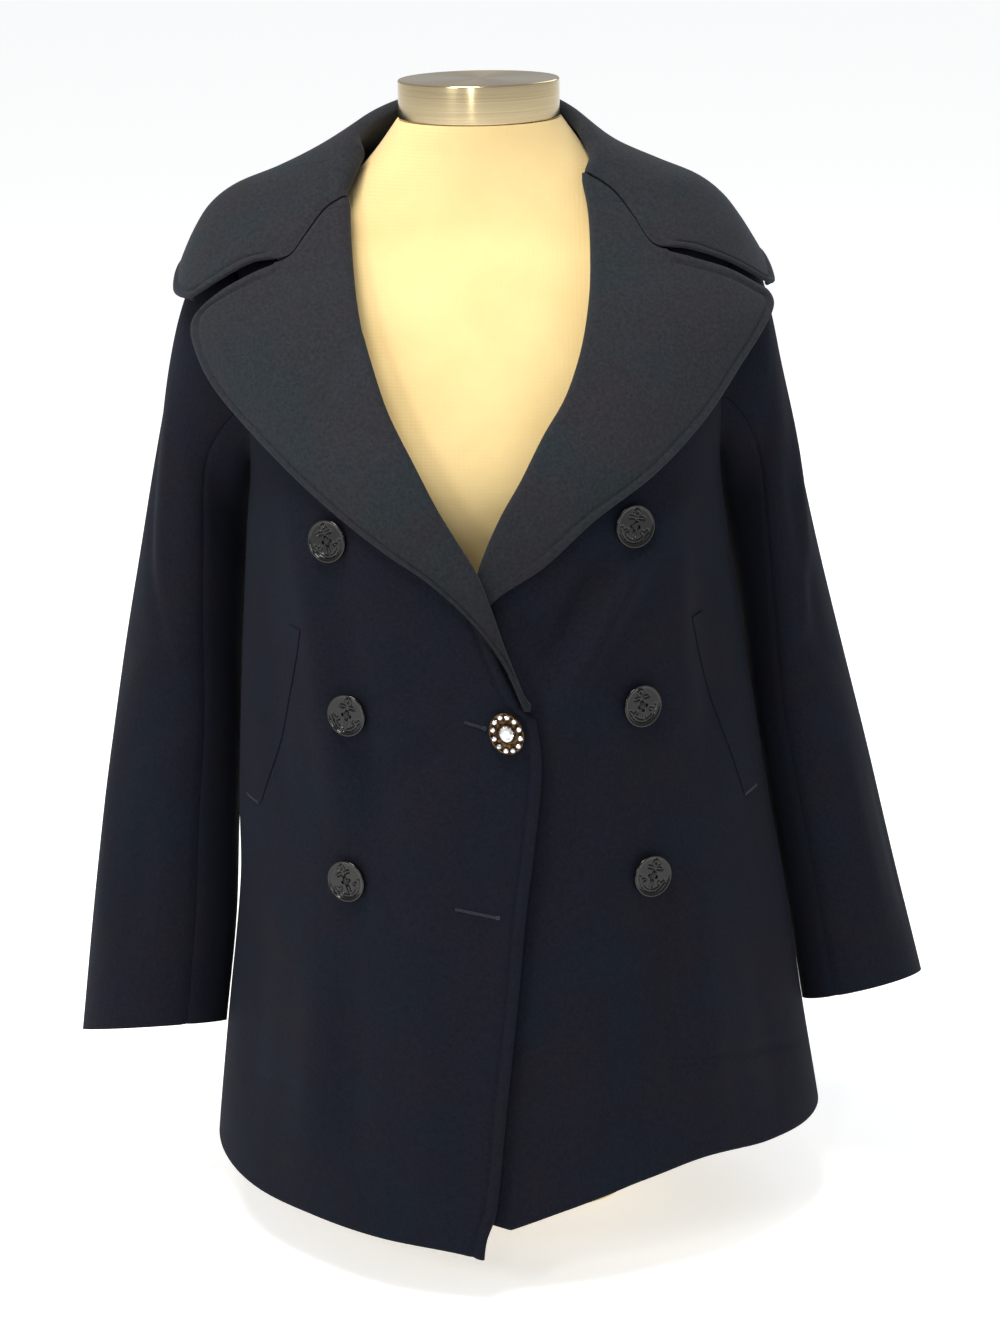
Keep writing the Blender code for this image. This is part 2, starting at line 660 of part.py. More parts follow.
def lapel_depth(side, across, height):
    """How far the lapel's face stands in front of the side plane."""
    depth = ring_depth(BODY, across, height) + lapel_lift(side, across, height)
    if side == "right":
        depth += overlap_lift(angle_across(BODY, across, height))
    return depth


def lapel_face(side, u, v):
    """The lapel's outer face away from its roll, and the normal there."""
    across, height = lapel_outline(side, u, v)
    depth = lapel_depth(side, across, height)
    step = 0.003
    slope_across = lapel_depth(side, across + step, height) - lapel_depth(side, across - step, height)
    slope_up = lapel_depth(side, across, height + step) - lapel_depth(side, across, height - step)
    normal = Vector((-slope_across, -2 * step, -slope_up)).normalized()
    return Vector((across, -depth, height)), normal


def rolled_rows(face, radius):
    """Points that go round a roll and then out along a face, and the same under the cloth.

    face(u) gives the face's point and normal, u 0 at the roll and 1 at the outer edge.
    """
    start, normal = face(0)
    edge, _ = face(1)
    ahead, _ = face(ROLL_LEAD)
    way = ahead - start
    way = (way - normal * way.dot(normal)).normalized()
    middle = start + (way - normal) * radius
    outer, inner = [], []
    for turn in range(ROLL_STEPS):
        angle = -math.pi / 2 - math.pi * turn / ROLL_STEPS
        spoke = way * math.cos(angle) + normal * math.sin(angle)
        outer.append(middle + spoke * radius)
        inner.append(middle + spoke * (radius - CLOTH))
    first = min(radius / (edge - start).length, 0.5)
    for column in range(FACE_COLUMNS + 1):
        point, normal = face(first + (1 - first) * column / FACE_COLUMNS)
        outer.append(point)
        inner.append(point - normal * CLOTH)
    return outer, inner


def lapel(side, wool):
    outer, inner = [], []
    for row in range(LAPEL_ROWS + 1):
        v = row / LAPEL_ROWS
        start, edge = lapel_face(side, 0, v)[0], lapel_face(side, 1, v)[0]
        radius = min(roll_radius(side, start.z), (edge - start).length * 0.5)
        rows = rolled_rows(lambda u, v=v: lapel_face(side, u, v), max(radius, CLOTH + SEAM_GAP))
        outer.append(rows[0])
        inner.append(rows[1])
    return wall("lapel_" + side, outer, inner, wool)


def collar_place(share, u):
    """The collar's face, as an angle and a height: u 0 at its roll, 1 at its outer edge."""
    def straight(at):
        roll = Vector((math.radians(COLLAR.read("roll_angle", at)), COLLAR.read("roll_height", at)))
        edge = Vector((math.radians(COLLAR.read("edge_angle", at)), COLLAR.read("edge_height", at)))
        return roll.lerp(edge, u)

    place = straight(share)
    for gorge, end, turn in ((RIGHT_GORGE, 0, 0), (LEFT_GORGE, 1, -2 * math.pi)):
        near = 1 - abs(share - end) / GORGE_REACH
        if near > 0:
            height = gorge.read("height", u)
            angle = angle_across(OVER, gorge.read("across", u), height) + turn
            place += (Vector((angle, height)) - straight(end)) * near * near
    return place


def collar_face(share, u):
    angle, height = collar_place(share, u)
    normal = outward(lambda a, h: on_ring(OVER, a, h), angle, height, 0.002)
    return on_ring(OVER, angle, height), normal


def collar(wool):
    """The collar's fall, its roll and the stand under it, down to the neck seam."""
    outer, inner = [], []
    for station in range(COLLAR_STATIONS + 1):
        share = station / COLLAR_STATIONS
        folded = rolled_rows(lambda u, s=share: collar_face(s, u), COLLAR.read("radius", share))
        angle = math.radians(COLLAR.read("seam_angle", share))
        back = eased(SIDE, math.pi, abs(math.remainder(angle, 2 * math.pi)))
        neck = SHOULDER_TOP + (BACK_NECK - SHOULDER_TOP) * back
        foot = on_ring(BODY, angle, neck) - body_normal(angle, neck) * CLOTH
        foot.z += NECK_CLEAR
        thick = folded[1][0] - folded[0][0]
        stand = [foot, foot.lerp(folded[0][0], 0.5)]
        outer.append(stand + folded[0])
        inner.append([point + thick for point in stand] + folded[1])
    return wall("collar", outer, inner, wool)


# ---- Pocket welts --------------------------------------------------------------------

def welt(side, wool):
    sign = -1 if side == "right" else 1
    rows, columns = 8, 2
    outer, inner = [], []
    for row in range(rows + 1):
        along = row / rows
        outer_row, inner_row = [], []
        for column in range(columns + 1):
            shift = (column / columns - 0.5) * WELT_WIDTH
            across = sign * (POCKET_FOOT[0] + (POCKET_TOP[0] - POCKET_FOOT[0]) * along - shift)
            height = POCKET_FOOT[1] + (POCKET_TOP[1] - POCKET_FOOT[1]) * along
            angle = angle_across(BODY, across, height)
            normal = body_normal(angle, height)
            base = on_ring(BODY, angle, height)
            base += normal * (2 * SEAM_GAP + (overlap_lift(angle) if side == "right" else 0))
            outer_row.append(base + normal * WELT_THICK)
            inner_row.append(base)
        outer.append(outer_row)
        inner.append(inner_row)
    return wall("pocket_welt_" + side, outer, inner, wool)


# ---- Buttons -------------------------------------------------------------------------

def turned(name, profile, sides, place, normal, finish_material, stretch=(1, 1), tilt=0):
    """A solid turned from (radius, height) pairs, from its back to its face, set facing normal."""
    shape = bmesh.new()
    rings = []
    for radius, height in profile:
        ring = []
        for side in range(sides):
            angle = 2 * math.pi * side / sides
            ring.append(shape.verts.new((
                radius * stretch[0] * math.cos(angle), radius * stretch[1] * math.sin(angle), height)))
        rings.append(ring)
    for lower, upper in zip(rings, rings[1:]):
        for side in range(sides):
            after = (side + 1) % sides
            shape.faces.new((lower[side], lower[after], upper[after], upper[side]))
    shape.faces.new(list(reversed(rings[0])))
    shape.faces.new(rings[-1])
    right = Vector((0, 0, 1)).cross(normal).normalized()
    up = normal.cross(right)
    cosine, sine = math.cos(tilt), math.sin(tilt)
    for vert in shape.verts:
        x, y, z = vert.co
        x, y = x * cosine - y * sine, x * sine + y * cosine
        vert.co = place + right * x + up * y + normal * z
    return finish(name, shape, finish_material)


def seat(across, height, lifted):
    """The place and normal of the panel's face at a distance across and up."""
    angle = angle_across(BODY, across, height)
    normal = body_normal(angle, height)
    return on_ring(BODY, angle, height) + normal * (overlap_lift(angle) if lifted else 0), normal


def buttons(gloss):
    for name, (across, height) in BUTTON_PLACES.items():
        place, normal = seat(across, height, name.startswith("right"))
        place += normal * BUTTON_STANDOFF
        profile = (
            (BUTTON_BACK, 0),
            (BUTTON_RADIUS, BUTTON_THICK / 3),
            (BUTTON_RADIUS, BUTTON_THICK * 0.8),
            (BUTTON_RADIUS - BUTTON_RIM * 0.5, BUTTON_THICK),
            (BUTTON_RADIUS - BUTTON_RIM, BUTTON_THICK * 0.95),
            (BUTTON_RADIUS - BUTTON_RIM * 1.5, BUTTON_THICK - BUTTON_DISH),
        )
        turned("button_" + name, profile, BUTTON_SIDES, place, normal, gloss)


def jewel(gold, glass):
    place, normal = seat(*JEWEL_PLACE, True)
    place += normal * BUTTON_STANDOFF
    right = Vector((0, 0, 1)).cross(normal).normalized()
    up = normal.cross(right)
    stretch = (1, JEWEL_HALF_HEIGHT / JEWEL_HALF_WIDTH)
    profile = (
        (JEWEL_HALF_WIDTH - JEWEL_EDGE, 0),
        (JEWEL_HALF_WIDTH, JEWEL_EDGE),
        (JEWEL_HALF_WIDTH, JEWEL_THICK - JEWEL_EDGE),
        (JEWEL_HALF_WIDTH - JEWEL_EDGE, JEWEL_THICK),
    )
    turned("jewel_setting", profile, BUTTON_SIDES, place, normal, gold, stretch, JEWEL_TILT)
    face = place + normal * (JEWEL_THICK + SEAM_GAP)
    ring_width = JEWEL_HALF_WIDTH - STONE_INSET
    ring_height = JEWEL_HALF_HEIGHT - STONE_INSET
    cosine, sine = math.cos(JEWEL_TILT), math.sin(JEWEL_TILT)
    for stone in range(JEWEL_STONES):
        angle = 2 * math.pi * stone / JEWEL_STONES
        x, y = ring_width * math.cos(angle), ring_height * math.sin(angle)
        middle = face + right * (x * cosine - y * sine) + up * (x * sine + y * cosine)
        small = STONE_RADIUS
        cut = ((small * 0.9, 0), (small, small / 3), (small / 2, small * 0.7))
        turned(f"jewel_stone_{stone + 1:02d}", cut, 8, middle, normal, glass)
    wide = CENTRE_STONE_RADIUS
    cut = ((wide * 0.9, 0), (wide, wide / 4), (wide * 0.55, wide * 0.58))
    stretch = (1, CENTRE_STONE_STRETCH)
    turned("jewel_centre_stone", cut, 12, face, normal, glass, stretch, JEWEL_TILT)


# ---- Dress form ----------------------------------------------------------------------

def dress_form(cloth, brass):
    shape = bmesh.new()
    rings = []
    for level in range(FORM_LEVELS + 1):
        share = level / FORM_LEVELS
        height = CAP_FOOT * (1 - (1 - share) ** FORM_CROWDING) - SEAM_GAP * share
        ring = []
        for side in range(FORM_SIDES):
            point = on_ring(FORM, 2 * math.pi * side / FORM_SIDES, height)
            point.x += FORM_MIDDLE * eased(*FORM_LEAN, height)
            ring.append(shape.verts.new(point))
        rings.append(ring)
    for lower, upper in zip(rings, rings[1:]):
        for side in range(FORM_SIDES):
            after = (side + 1) % FORM_SIDES
            shape.faces.new((lower[side], lower[after], upper[after], upper[side]))
    shape.faces.new(list(reversed(rings[0])))
    shape.faces.new(rings[-1])
    finish("dress_form", shape, cloth)
    profile = (
        (CAP_RADIUS - CAP_BEVEL, CAP_FOOT),
        (CAP_RADIUS, CAP_FOOT + CAP_BEVEL),
        (CAP_RADIUS, CAP_TOP - CAP_BEVEL),
        (CAP_RADIUS - CAP_BEVEL, CAP_TOP),
    )
    shape = bmesh.new()
    rings = [
        [
            shape.verts.new((
                FORM_MIDDLE + radius * math.cos(2 * math.pi * side / FORM_SIDES),
                radius * math.sin(2 * math.pi * side / FORM_SIDES), height))
            for side in range(FORM_SIDES)
        ]
        for radius, height in profile
    ]
    for lower, upper in zip(rings, rings[1:]):
        for side in range(FORM_SIDES):
            after = (side + 1) % FORM_SIDES
            shape.faces.new((lower[side], lower[after], upper[after], upper[side]))
    shape.faces.new(list(reversed(rings[0])))
    shape.faces.new(rings[-1])
    finish("neck_cap", shape, brass)


def build():
    for old in list(bpy.data.objects):
        bpy.data.objects.remove(old, do_unlink=True)
    wool = material("navy_melton", (0.008, 0.009, 0.015), 0.9)
    gloss = material("black_gloss_resin", (0.004, 0.004, 0.004), 0.15)
    gold = material("antique_gold", (0.20, 0.13, 0.05), 0.4, 1.0)
    glass = material("clear_glass_stone", (0.85, 0.88, 0.92), 0.05)
    jersey = material("cream_jersey", (0.80, 0.70, 0.45), 0.8)
    brass = material("brushed_brass", (0.55, 0.45, 0.30), 0.35, 1.0)
    for side in ("right", "left"):
        front_panel(side, wool)
        back_panel(side, wool)
        sleeve_piece(side, f"sleeve_{side}_upper", -SLEEVE_SEAM, SLEEVE_SEAM, wool)
        sleeve_piece(side, f"sleeve_{side}_under", SLEEVE_SEAM, 2 * ARMHOLE_STEPS - SLEEVE_SEAM, wool)
        lapel(side, wool)
        welt(side, wool)
    collar(wool)
    buttons(gloss)
    jewel(gold, glass)
    dress_form(jersey, brass)


build()
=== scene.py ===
"""Women's double-breasted pea coat on a tabletop dress form: the looks of every piece.

Metres, +Z up, the coat's front towards -Y and the wearer's right at -X. The sections
follow the coat as it is put together, from its fronts to the form that it stands on.
"""
import math

import bmesh
import bpy
import numpy as np
from mathutils import Matrix, Vector


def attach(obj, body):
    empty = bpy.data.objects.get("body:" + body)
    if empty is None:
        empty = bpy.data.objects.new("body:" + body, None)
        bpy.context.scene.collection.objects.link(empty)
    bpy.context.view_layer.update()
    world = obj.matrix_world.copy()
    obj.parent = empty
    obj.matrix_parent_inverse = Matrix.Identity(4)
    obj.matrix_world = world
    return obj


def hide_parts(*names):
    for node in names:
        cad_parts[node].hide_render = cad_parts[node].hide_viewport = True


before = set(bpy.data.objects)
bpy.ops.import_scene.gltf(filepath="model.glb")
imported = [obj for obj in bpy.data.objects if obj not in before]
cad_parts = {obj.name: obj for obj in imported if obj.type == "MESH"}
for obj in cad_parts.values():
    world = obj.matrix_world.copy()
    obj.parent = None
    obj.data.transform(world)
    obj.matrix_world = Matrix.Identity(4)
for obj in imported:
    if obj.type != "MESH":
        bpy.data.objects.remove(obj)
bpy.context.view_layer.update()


# ---- Camera, floor and light ---------------------------------------------------------
# A long lens at head height, 2.2 m in front of the form and looking a little down on it.
# The floor is plain and pale. The light is soft and comes mostly from above.

CAMERA_PLACE = Vector((0, -2.2, 1.0396))
CAMERA_DOWN = math.radians(16.1)
CAMERA_ROLL = math.radians(1.1)
CAMERA_LENS = 86.58
FLOOR_RADIUS = 20.0


def linear(hex_colour):
    """An sRGB hex colour as linear red, green, blue and alpha."""
    parts = [int(hex_colour[i:i + 2], 16) / 255 for i in (1, 3, 5)]
    return [*(c / 12.92 if c <= 0.04045 else ((c + 0.055) / 1.055) ** 2.4 for c in parts), 1.0]


class Look:
    """A material as it is made. Its patterns are laid out in metres on the piece."""

    def __init__(self, name):
        self.material = bpy.data.materials.new(name)
        self.material.use_nodes = True
        self.tree = self.material.node_tree
        self.place = self.node("ShaderNodeTexCoord", {}).outputs["Object"]

    def feed(self, node, sockets):
        """Gives a node's inputs by name, each a value or another node's output."""
        for name, value in sockets.items():
            if isinstance(value, bpy.types.NodeSocket):
                self.tree.links.new(value, node.inputs[name])
            else:
                node.inputs[name].default_value = value

    def node(self, kind, sockets, **settings):
        node = self.tree.nodes.new(kind)
        for name, value in settings.items():
            setattr(node, name, value)
        self.feed(node, sockets)
        return node

    def noise(self, grain, detail, roughness=0.5, place=None):
        """Noise with a grain of this size."""
        return self.node("ShaderNodeTexNoise", {
            "Vector": place or self.place, "Scale": 1 / grain, "Detail": detail,
            "Roughness": roughness}).outputs["Fac"]

    def ramp(self, share, *stops):
        """A colour for each share, between stops of (share, colour)."""
        node = self.node("ShaderNodeValToRGB", {"Fac": share})
        for index, (at, _) in enumerate((stops[0], stops[-1])):
            node.color_ramp.elements[index].position = at
        for at, _ in stops[1:-1]:
            node.color_ramp.elements.new(at)
        for stop, (_, colour) in zip(node.color_ramp.elements, stops):
            stop.color = linear(colour)
        return node.outputs["Color"]

    def spread(self, value, given, wanted):
        """Takes a value from one range to another, each (low, high)."""
        return self.node("ShaderNodeMapRange", {
            "Value": value, "From Min": given[0], "From Max": given[1],
            "To Min": wanted[0], "To Max": wanted[1]}).outputs["Result"]

    def product(self, first, second):
        return self.node(
            "ShaderNodeVectorMath", {0: first, 1: second}, operation="MULTIPLY").outputs["Vector"]

    def total(self, first, second):
        return self.node("ShaderNodeMath", {0: first, 1: second}, operation="ADD").outputs["Value"]

    def bump(self, height, strength, distance):
        return self.node("ShaderNodeBump", {
            "Height": height, "Strength": strength, "Distance": distance}).outputs["Normal"]

    def surface(self, sockets):
        """Gives the surface its inputs, and gives back the finished material."""
        self.feed(self.tree.nodes["Principled BSDF"], sockets)
        return self.material


def in_scene(name, data):
    """A new object in the scene, of a mesh, a lamp or a camera."""
    thing = bpy.data.objects.new(name, data)
    bpy.context.scene.collection.objects.link(thing)
    return thing


def mesh_of(name, shape):
    """The mesh of a finished shape, which is used up."""
    mesh = bpy.data.meshes.new(name)
    shape.to_mesh(mesh)
    shape.free()
    return mesh


def soft_light(name, place, target, width, height, watts, colour):
    light = bpy.data.lights.new(name, "AREA")
    light.shape = "ELLIPSE"
    light.size = width
    light.size_y = height
    light.energy = watts
    light.color = linear(colour)[:3]
    lamp = in_scene(name, light)
    lamp.location = place
    lamp.rotation_euler = (Vector(target) - Vector(place)).to_track_quat("-Z", "Y").to_euler()


ahead = Vector((0, math.cos(CAMERA_DOWN), -math.sin(CAMERA_DOWN)))
level_up = Vector((0, math.sin(CAMERA_DOWN), math.cos(CAMERA_DOWN)))
level_right = Vector((1, 0, 0))
right = level_right * math.cos(CAMERA_ROLL) - level_up * math.sin(CAMERA_ROLL)
up = level_right * math.sin(CAMERA_ROLL) + level_up * math.cos(CAMERA_ROLL)
camera = in_scene("camera", bpy.data.cameras.new("camera"))
camera.data.lens = CAMERA_LENS
camera.data.sensor_width = 36
camera.matrix_world = (
    Matrix.Translation(CAMERA_PLACE) @ Matrix((right, up, -ahead)).transposed().to_4x4())
bpy.context.scene.camera = camera
bpy.context.scene.view_settings.view_transform = "Standard"

soft_light("overhead", (-0.5, -0.7, 2.9), (0, 0, 0.45), 1.2, 1.2, 66, "#FFF9F0")
soft_light("front_left", (-1.9, -2.4, 1.9), (0, 0, 0.5), 0.7, 0.7, 22, "#FFFDF8")
soft_light("strip", (-0.60, -3.2, 1.5), (0, 0, 0.75), 0.20, 1.6, 13, "#FFFDF8")
soft_light("behind", (1.4, 2.2, 2.2), (0, 0, 0.5), 1.8, 1.8, 18, "#F4F8FF")

world = bpy.data.worlds.new("studio")
world.use_nodes = True
sky = world.node_tree.nodes["Background"]
sky.inputs["Color"].default_value = linear("#FCFDFF")
sky.inputs["Strength"].default_value = 0.44
bpy.context.scene.world = world

floor_shape = bmesh.new()
bmesh.ops.create_circle(floor_shape, cap_ends=True, radius=FLOOR_RADIUS, segments=64)
floor = in_scene("floor", mesh_of("floor", floor_shape))
floor.data.materials.append(Look("matt_white_board").surface({
    "Base Color": linear("#F6F7F7"), "Roughness": 0.95, "Specular IOR Level": 0.1,
    "Emission Color": linear("#FFFFFF"), "Emission Strength": 0.55}))


# ---- Fronts --------------------------------------------------------------------------
# Two front panels of heavy wool melton, about 2.8 mm thick with their turnings. The
# right one laps over the left. Their free edges are turned and edge-stitched from
# inside, which leaves a soft band; the hem is turned up and pressed, and its upper end
# shows as a faint line.

CLOTH = 0.0028
HALF_GAP = 0.00015              # half the gap between two pieces that are sewn together
ROLL_CLEAR = 0.0038             # the panel's edge behind the lapel's roll
ROLL_RADIUS = 0.0070            # the most that a lapel's roll has
LAPEL_LYING = 0.0054            # a lapel's face above the panel under it
LAPEL_RISE = (0.50, 0.60)       # the heights where the lapels leave the panels
EDGE_TURN = 0.008               # the front edge turns in to the roll over this height
OVERLAP_LIFT = 0.0095           # the right front clears the left front and its lapel
OVERLAP_RISE = (math.radians(-60), math.radians(-22))
ARMHOLE_MIDDLE = 0.636
ARMHOLE_HALF_HEIGHT = 0.076
ARMHOLE_FRONT = math.radians(20.6)
SIDE = math.pi / 2
SHOULDER_TOP = 0.753            # where the shoulder seam meets the neck
UNDERLAP_EDGE = -0.0280
EDGE_BAND = 0.0080              # the edge stitching lies this far in
EDGE_PUFF = 0.0011
EDGE_DITCH = 0.0010
EDGE_ROUND = 0.0013             # the edge is rounded over this width
DITCH_SHARE = 0.24              # the ditch's width as a share of the band's
BUTTON_DIMPLE = 0.020           # folds fade out this near to a button
SLOPE_STEP = 0.0005             # slopes are taken over steps of this size
ROLL_STEP = 0.004               # and along a roll line over this one
FOLD_ENDS = (-0.15, 0.35)       # a fold rises over this share of its length
LAP_ACROSS = (-0.07, -0.035)    # the right front's folds fade out over the left lapel,
LAP_RISE = (0.425, 0.455)       # across and up
SIGN = {"right": -1, "left": 1}
BUTTON_PLACES = {               # across and up, named by the side and row
    "right_top": (-0.1085, 0.5320),
    "right_middle": (-0.0980, 0.4150),
    "right_lower": (-0.1015, 0.2985),
    "left_top": (0.0893, 0.5385),
    "left_middle": (0.0931, 0.4160),
    "left_lower": (0.0990, 0.2968),
}
JEWEL_PLACE = (0.0032, 0.4080)


class Table:
    """Rows of named columns, read smoothly between rows against the first column."""

    def __init__(self, columns, *rows):
        self.columns = columns
        self.rows = np.array(rows, float)

    def read(self, name, place):
        places, values = self.rows[:, 0], self.rows[:, self.columns.index(name)]
        before = np.maximum(np.arange(len(places)) - 1, 0)
        after = np.minimum(np.arange(len(places)) + 1, len(places) - 1)
        slopes = (values[after] - values[before]) / (places[after] - places[before])
        inside = np.clip(place, places[0], places[-1])
        row = np.clip(np.searchsorted(places, inside, side="right") - 1, 0, len(places) - 2)
        step = places[row + 1] - places[row]
        along = (inside - places[row]) / step
        square, cube = along ** 2, along ** 3
        value = (2 * cube - 3 * square + 1) * values[row] + (3 * square - 2 * cube) * values[row + 1]
        value += ((cube - 2 * square + along) * slopes[row] + (cube - square) * slopes[row + 1]) * step
        value += np.minimum(place - places[0], 0) * slopes[0]
        return value + np.maximum(place - places[-1], 0) * slopes[-1]


RING_COLUMNS = ("height", "right_side", "left_side", "front", "back", "front_square", "back_square")
FOLD_COLUMNS = ("from_across", "from_up", "to_across", "to_up", "bow", "width", "depth")

# The coat's body, as level rings: half widths to the right and left of the middle,
# depths to the front and back, and how square each half of the ring is.
BODY = Table(
    RING_COLUMNS,
    (0.020, 0.2180, 0.2360, 0.185, 0.161, 1.90, 2.1),
    (0.060, 0.2145, 0.2315, 0.183, 0.158, 1.90, 2.1),
    (0.145, 0.2045, 0.2180, 0.178, 0.152, 1.90, 2.1),
    (0.250, 0.1915, 0.2025, 0.172, 0.145, 1.92, 2.1),
    (0.310, 0.1895, 0.1915, 0.169, 0.141, 1.95, 2.1),
    (0.383, 0.1856, 0.1804, 0.165, 0.136, 2.00, 2.2),
    (0.450, 0.1810, 0.1700, 0.160, 0.132, 2.10, 2.2),
    (0.515, 0.1758, 0.1610, 0.154, 0.128, 2.30, 2.3),
    (0.560, 0.1710, 0.1560, 0.147, 0.125, 2.50, 2.3),
    (0.600, 0.1735, 0.1590, 0.138, 0.121, 2.60, 2.3),
    (0.650, 0.1810, 0.1670, 0.122, 0.112, 2.50, 2.3),
    (0.690, 0.1850, 0.1705, 0.096, 0.096, 2.30, 2.3),
    (0.712, 0.1820, 0.1680, 0.078, 0.082, 2.15, 2.2),
    (0.730, 0.1560, 0.1440, 0.065, 0.073, 2.05, 2.1),
    (0.748, 0.1170, 0.1050, 0.056, 0.067, 2.00, 2.0),
    (0.770, 0.0850, 0.0730, 0.048, 0.062, 2.00, 2.0),
)

# The surface that the lapels and the collar's fall lie on.
OVER = Table(
    RING_COLUMNS,
    (0.420, 0.2000, 0.1950, 0.172, 0.150, 2.0, 2.1),
    (0.500, 0.1960, 0.1820, 0.165, 0.148, 2.1, 2.1),
    (0.560, 0.1980, 0.1820, 0.157, 0.143, 2.2, 2.1),
    (0.600, 0.2060, 0.1880, 0.148, 0.136, 2.2, 2.1),
    (0.640, 0.2210, 0.2000, 0.135, 0.127, 2.2, 2.1),
    (0.665, 0.2250, 0.2030, 0.123, 0.119, 2.2, 2.1),
    (0.685, 0.2200, 0.1935, 0.110, 0.111, 2.2, 2.1),
    (0.705, 0.2125, 0.1825, 0.093, 0.104, 2.1, 2.1),
    (0.725, 0.2025, 0.1700, 0.076, 0.098, 2.1, 2.1),
    (0.740, 0.1915, 0.1580, 0.064, 0.094, 2.0, 2.1),
    (0.752, 0.1745, 0.1420, 0.056, 0.092, 2.0, 2.0),
    (0.762, 0.1480, 0.1180, 0.051, 0.090, 2.0, 2.0),
    (0.775, 0.1200, 0.0890, 0.050, 0.087, 2.0, 2.0),
    (0.790, 0.0945, 0.0685, 0.047, 0.083, 2.0, 2.0),
    (0.803, 0.0760, 0.0550, 0.043, 0.078, 2.0, 2.0),
    (0.815, 0.0640, 0.0480, 0.040, 0.074, 2.0, 2.0),
)

# Hem height by the angle from the middle of the front.
HEM = Table(
    ("angle", "right", "left"),
    (0, 0.0290, 0.0520),
    (12, 0.0385, 0.0640),
    (28, 0.0430, 0.0770),
    (45, 0.0455, 0.0850),
    (62, 0.0455, 0.0780),
    (90, 0.0520, 0.0680),
    (120, 0.0560, 0.0650),
    (180, 0.0600, 0.0600),
)

# The right front's edge below its lapel: how far across, by height.
OVERLAP_EDGE = Table(
    ("height", "across"),
    (0.029, -0.0183),
    (0.048, -0.0158),
    (0.068, -0.0093),
    (0.143, -0.0010),
    (0.222, 0.0079),
    (0.287, 0.0145),
    (0.326, 0.0198),
    (0.386, 0.0255),
    (0.424, 0.0208),
)

# Roll lines, where each lapel folds back, by height from the break up to the gorge.
ROLL = {
    "right": Table(
        ("height", "across"),
        (0.4240, 0.0208),
        (0.4440, 0.0125),
        (0.4651, 0.0042),
        (0.4912, -0.0045),
        (0.5157, -0.0139),
        (0.5386, -0.0278),
        (0.5586, -0.0398),
        (0.5892, -0.0556),
        (0.6200, -0.0715),
        (0.6525, -0.0825),
        (0.6758, -0.0888),
        (0.7063, -0.0932),
        (0.7296, -0.0951),
        (0.7507, -0.0947),
    ),
    "left": Table(
        ("height", "across"),
        (0.4700, -0.0270),
        (0.5177, -0.0125),
        (0.5484, 0.0011),
        (0.5743, 0.0164),
        (0.6026, 0.0316),
        (0.6260, 0.0465),
        (0.6505, 0.0562),
        (0.6736, 0.0620),
        (0.6987, 0.0654),
        (0.7230, 0.0662),
        (0.7423, 0.0655),
        (0.7615, 0.0629),
    ),
}

# Soft folds on the fronts: where each starts and ends, across and up, how far it bows,
# its width and how far it stands out, or lies in where that is negative.
FRONT_FOLDS = {
    "left": Table(
        FOLD_COLUMNS,
        (0.030, 0.398, 0.118, 0.546, 0.006, 0.0110, 0.0078),
        (0.034, 0.446, 0.084, 0.528, 0.004, 0.0110, -0.0070),
        (0.014, 0.486, 0.046, 0.432, -0.003, 0.0100, -0.0035),
        (0.119, 0.552, 0.127, 0.392, -0.003, 0.0120, 0.0048),
        (0.138, 0.520, 0.146, 0.350, 0.002, 0.0130, -0.0038),
        (0.064, 0.388, 0.034, 0.300, 0.002, 0.0150, -0.0035),
        (0.104, 0.282, 0.118, 0.140, 0.003, 0.0120, -0.0045),
        (0.132, 0.300, 0.150, 0.090, -0.004, 0.0170, 0.0048),
        (0.046, 0.270, 0.062, 0.080, 0.004, 0.0220, 0.0038),
        (0.080, 0.240, 0.088, 0.070, -0.002, 0.0140, -0.0032),
        (0.170, 0.260, 0.196, 0.080, 0.003, 0.0150, -0.0038),
    ),
    "right": Table(
        FOLD_COLUMNS,
        (-0.136, 0.552, -0.108, 0.330, 0.004, 0.0140, 0.0064),
        (-0.112, 0.506, -0.082, 0.310, 0.004, 0.0150, -0.0058),
        (-0.012, 0.404, -0.086, 0.352, -0.006, 0.0160, -0.0042),
        (-0.010, 0.424, -0.074, 0.452, 0.004, 0.0140, -0.0035),
        (-0.040, 0.380, -0.064, 0.230, 0.006, 0.0200, 0.0029),
        (-0.160, 0.520, -0.150, 0.330, -0.004, 0.0130, -0.0035),
        (-0.128, 0.270, -0.146, 0.070, 0.006, 0.0180, 0.0048),
        (-0.098, 0.240, -0.104, 0.075, -0.003, 0.0150, -0.0035),
        (-0.052, 0.230, -0.058, 0.060, 0.003, 0.0180, 0.0032),
        (-0.172, 0.280, -0.190, 0.090, 0.002, 0.0150, -0.0038),
    ),
}

# The pressed line over the turned-up hem, in the same columns as the folds.
HEM_LINES = {
    "left": Table(
        FOLD_COLUMNS,
        (0.108, 0.1605, 0.163, 0.1535, 0.001, 0.0036, -0.0012),
        (0.156, 0.1545, 0.216, 0.1290, 0.002, 0.0036, -0.0012),
    ),
    "right": Table(
        FOLD_COLUMNS,
        (-0.196, 0.1190, -0.140, 0.1390, 0.002, 0.0036, -0.0009),
    ),
}


def eased(low, high, value):
    """0 below low, 1 above high, and smooth between."""
    share = np.clip((value - low) / (high - low), 0, 1)
    return share * share * (3 - 2 * share)


def bell(distance, width):
    """1 at a distance of 0, dying away over about this width."""
    return np.exp(-(distance / width) ** 2)


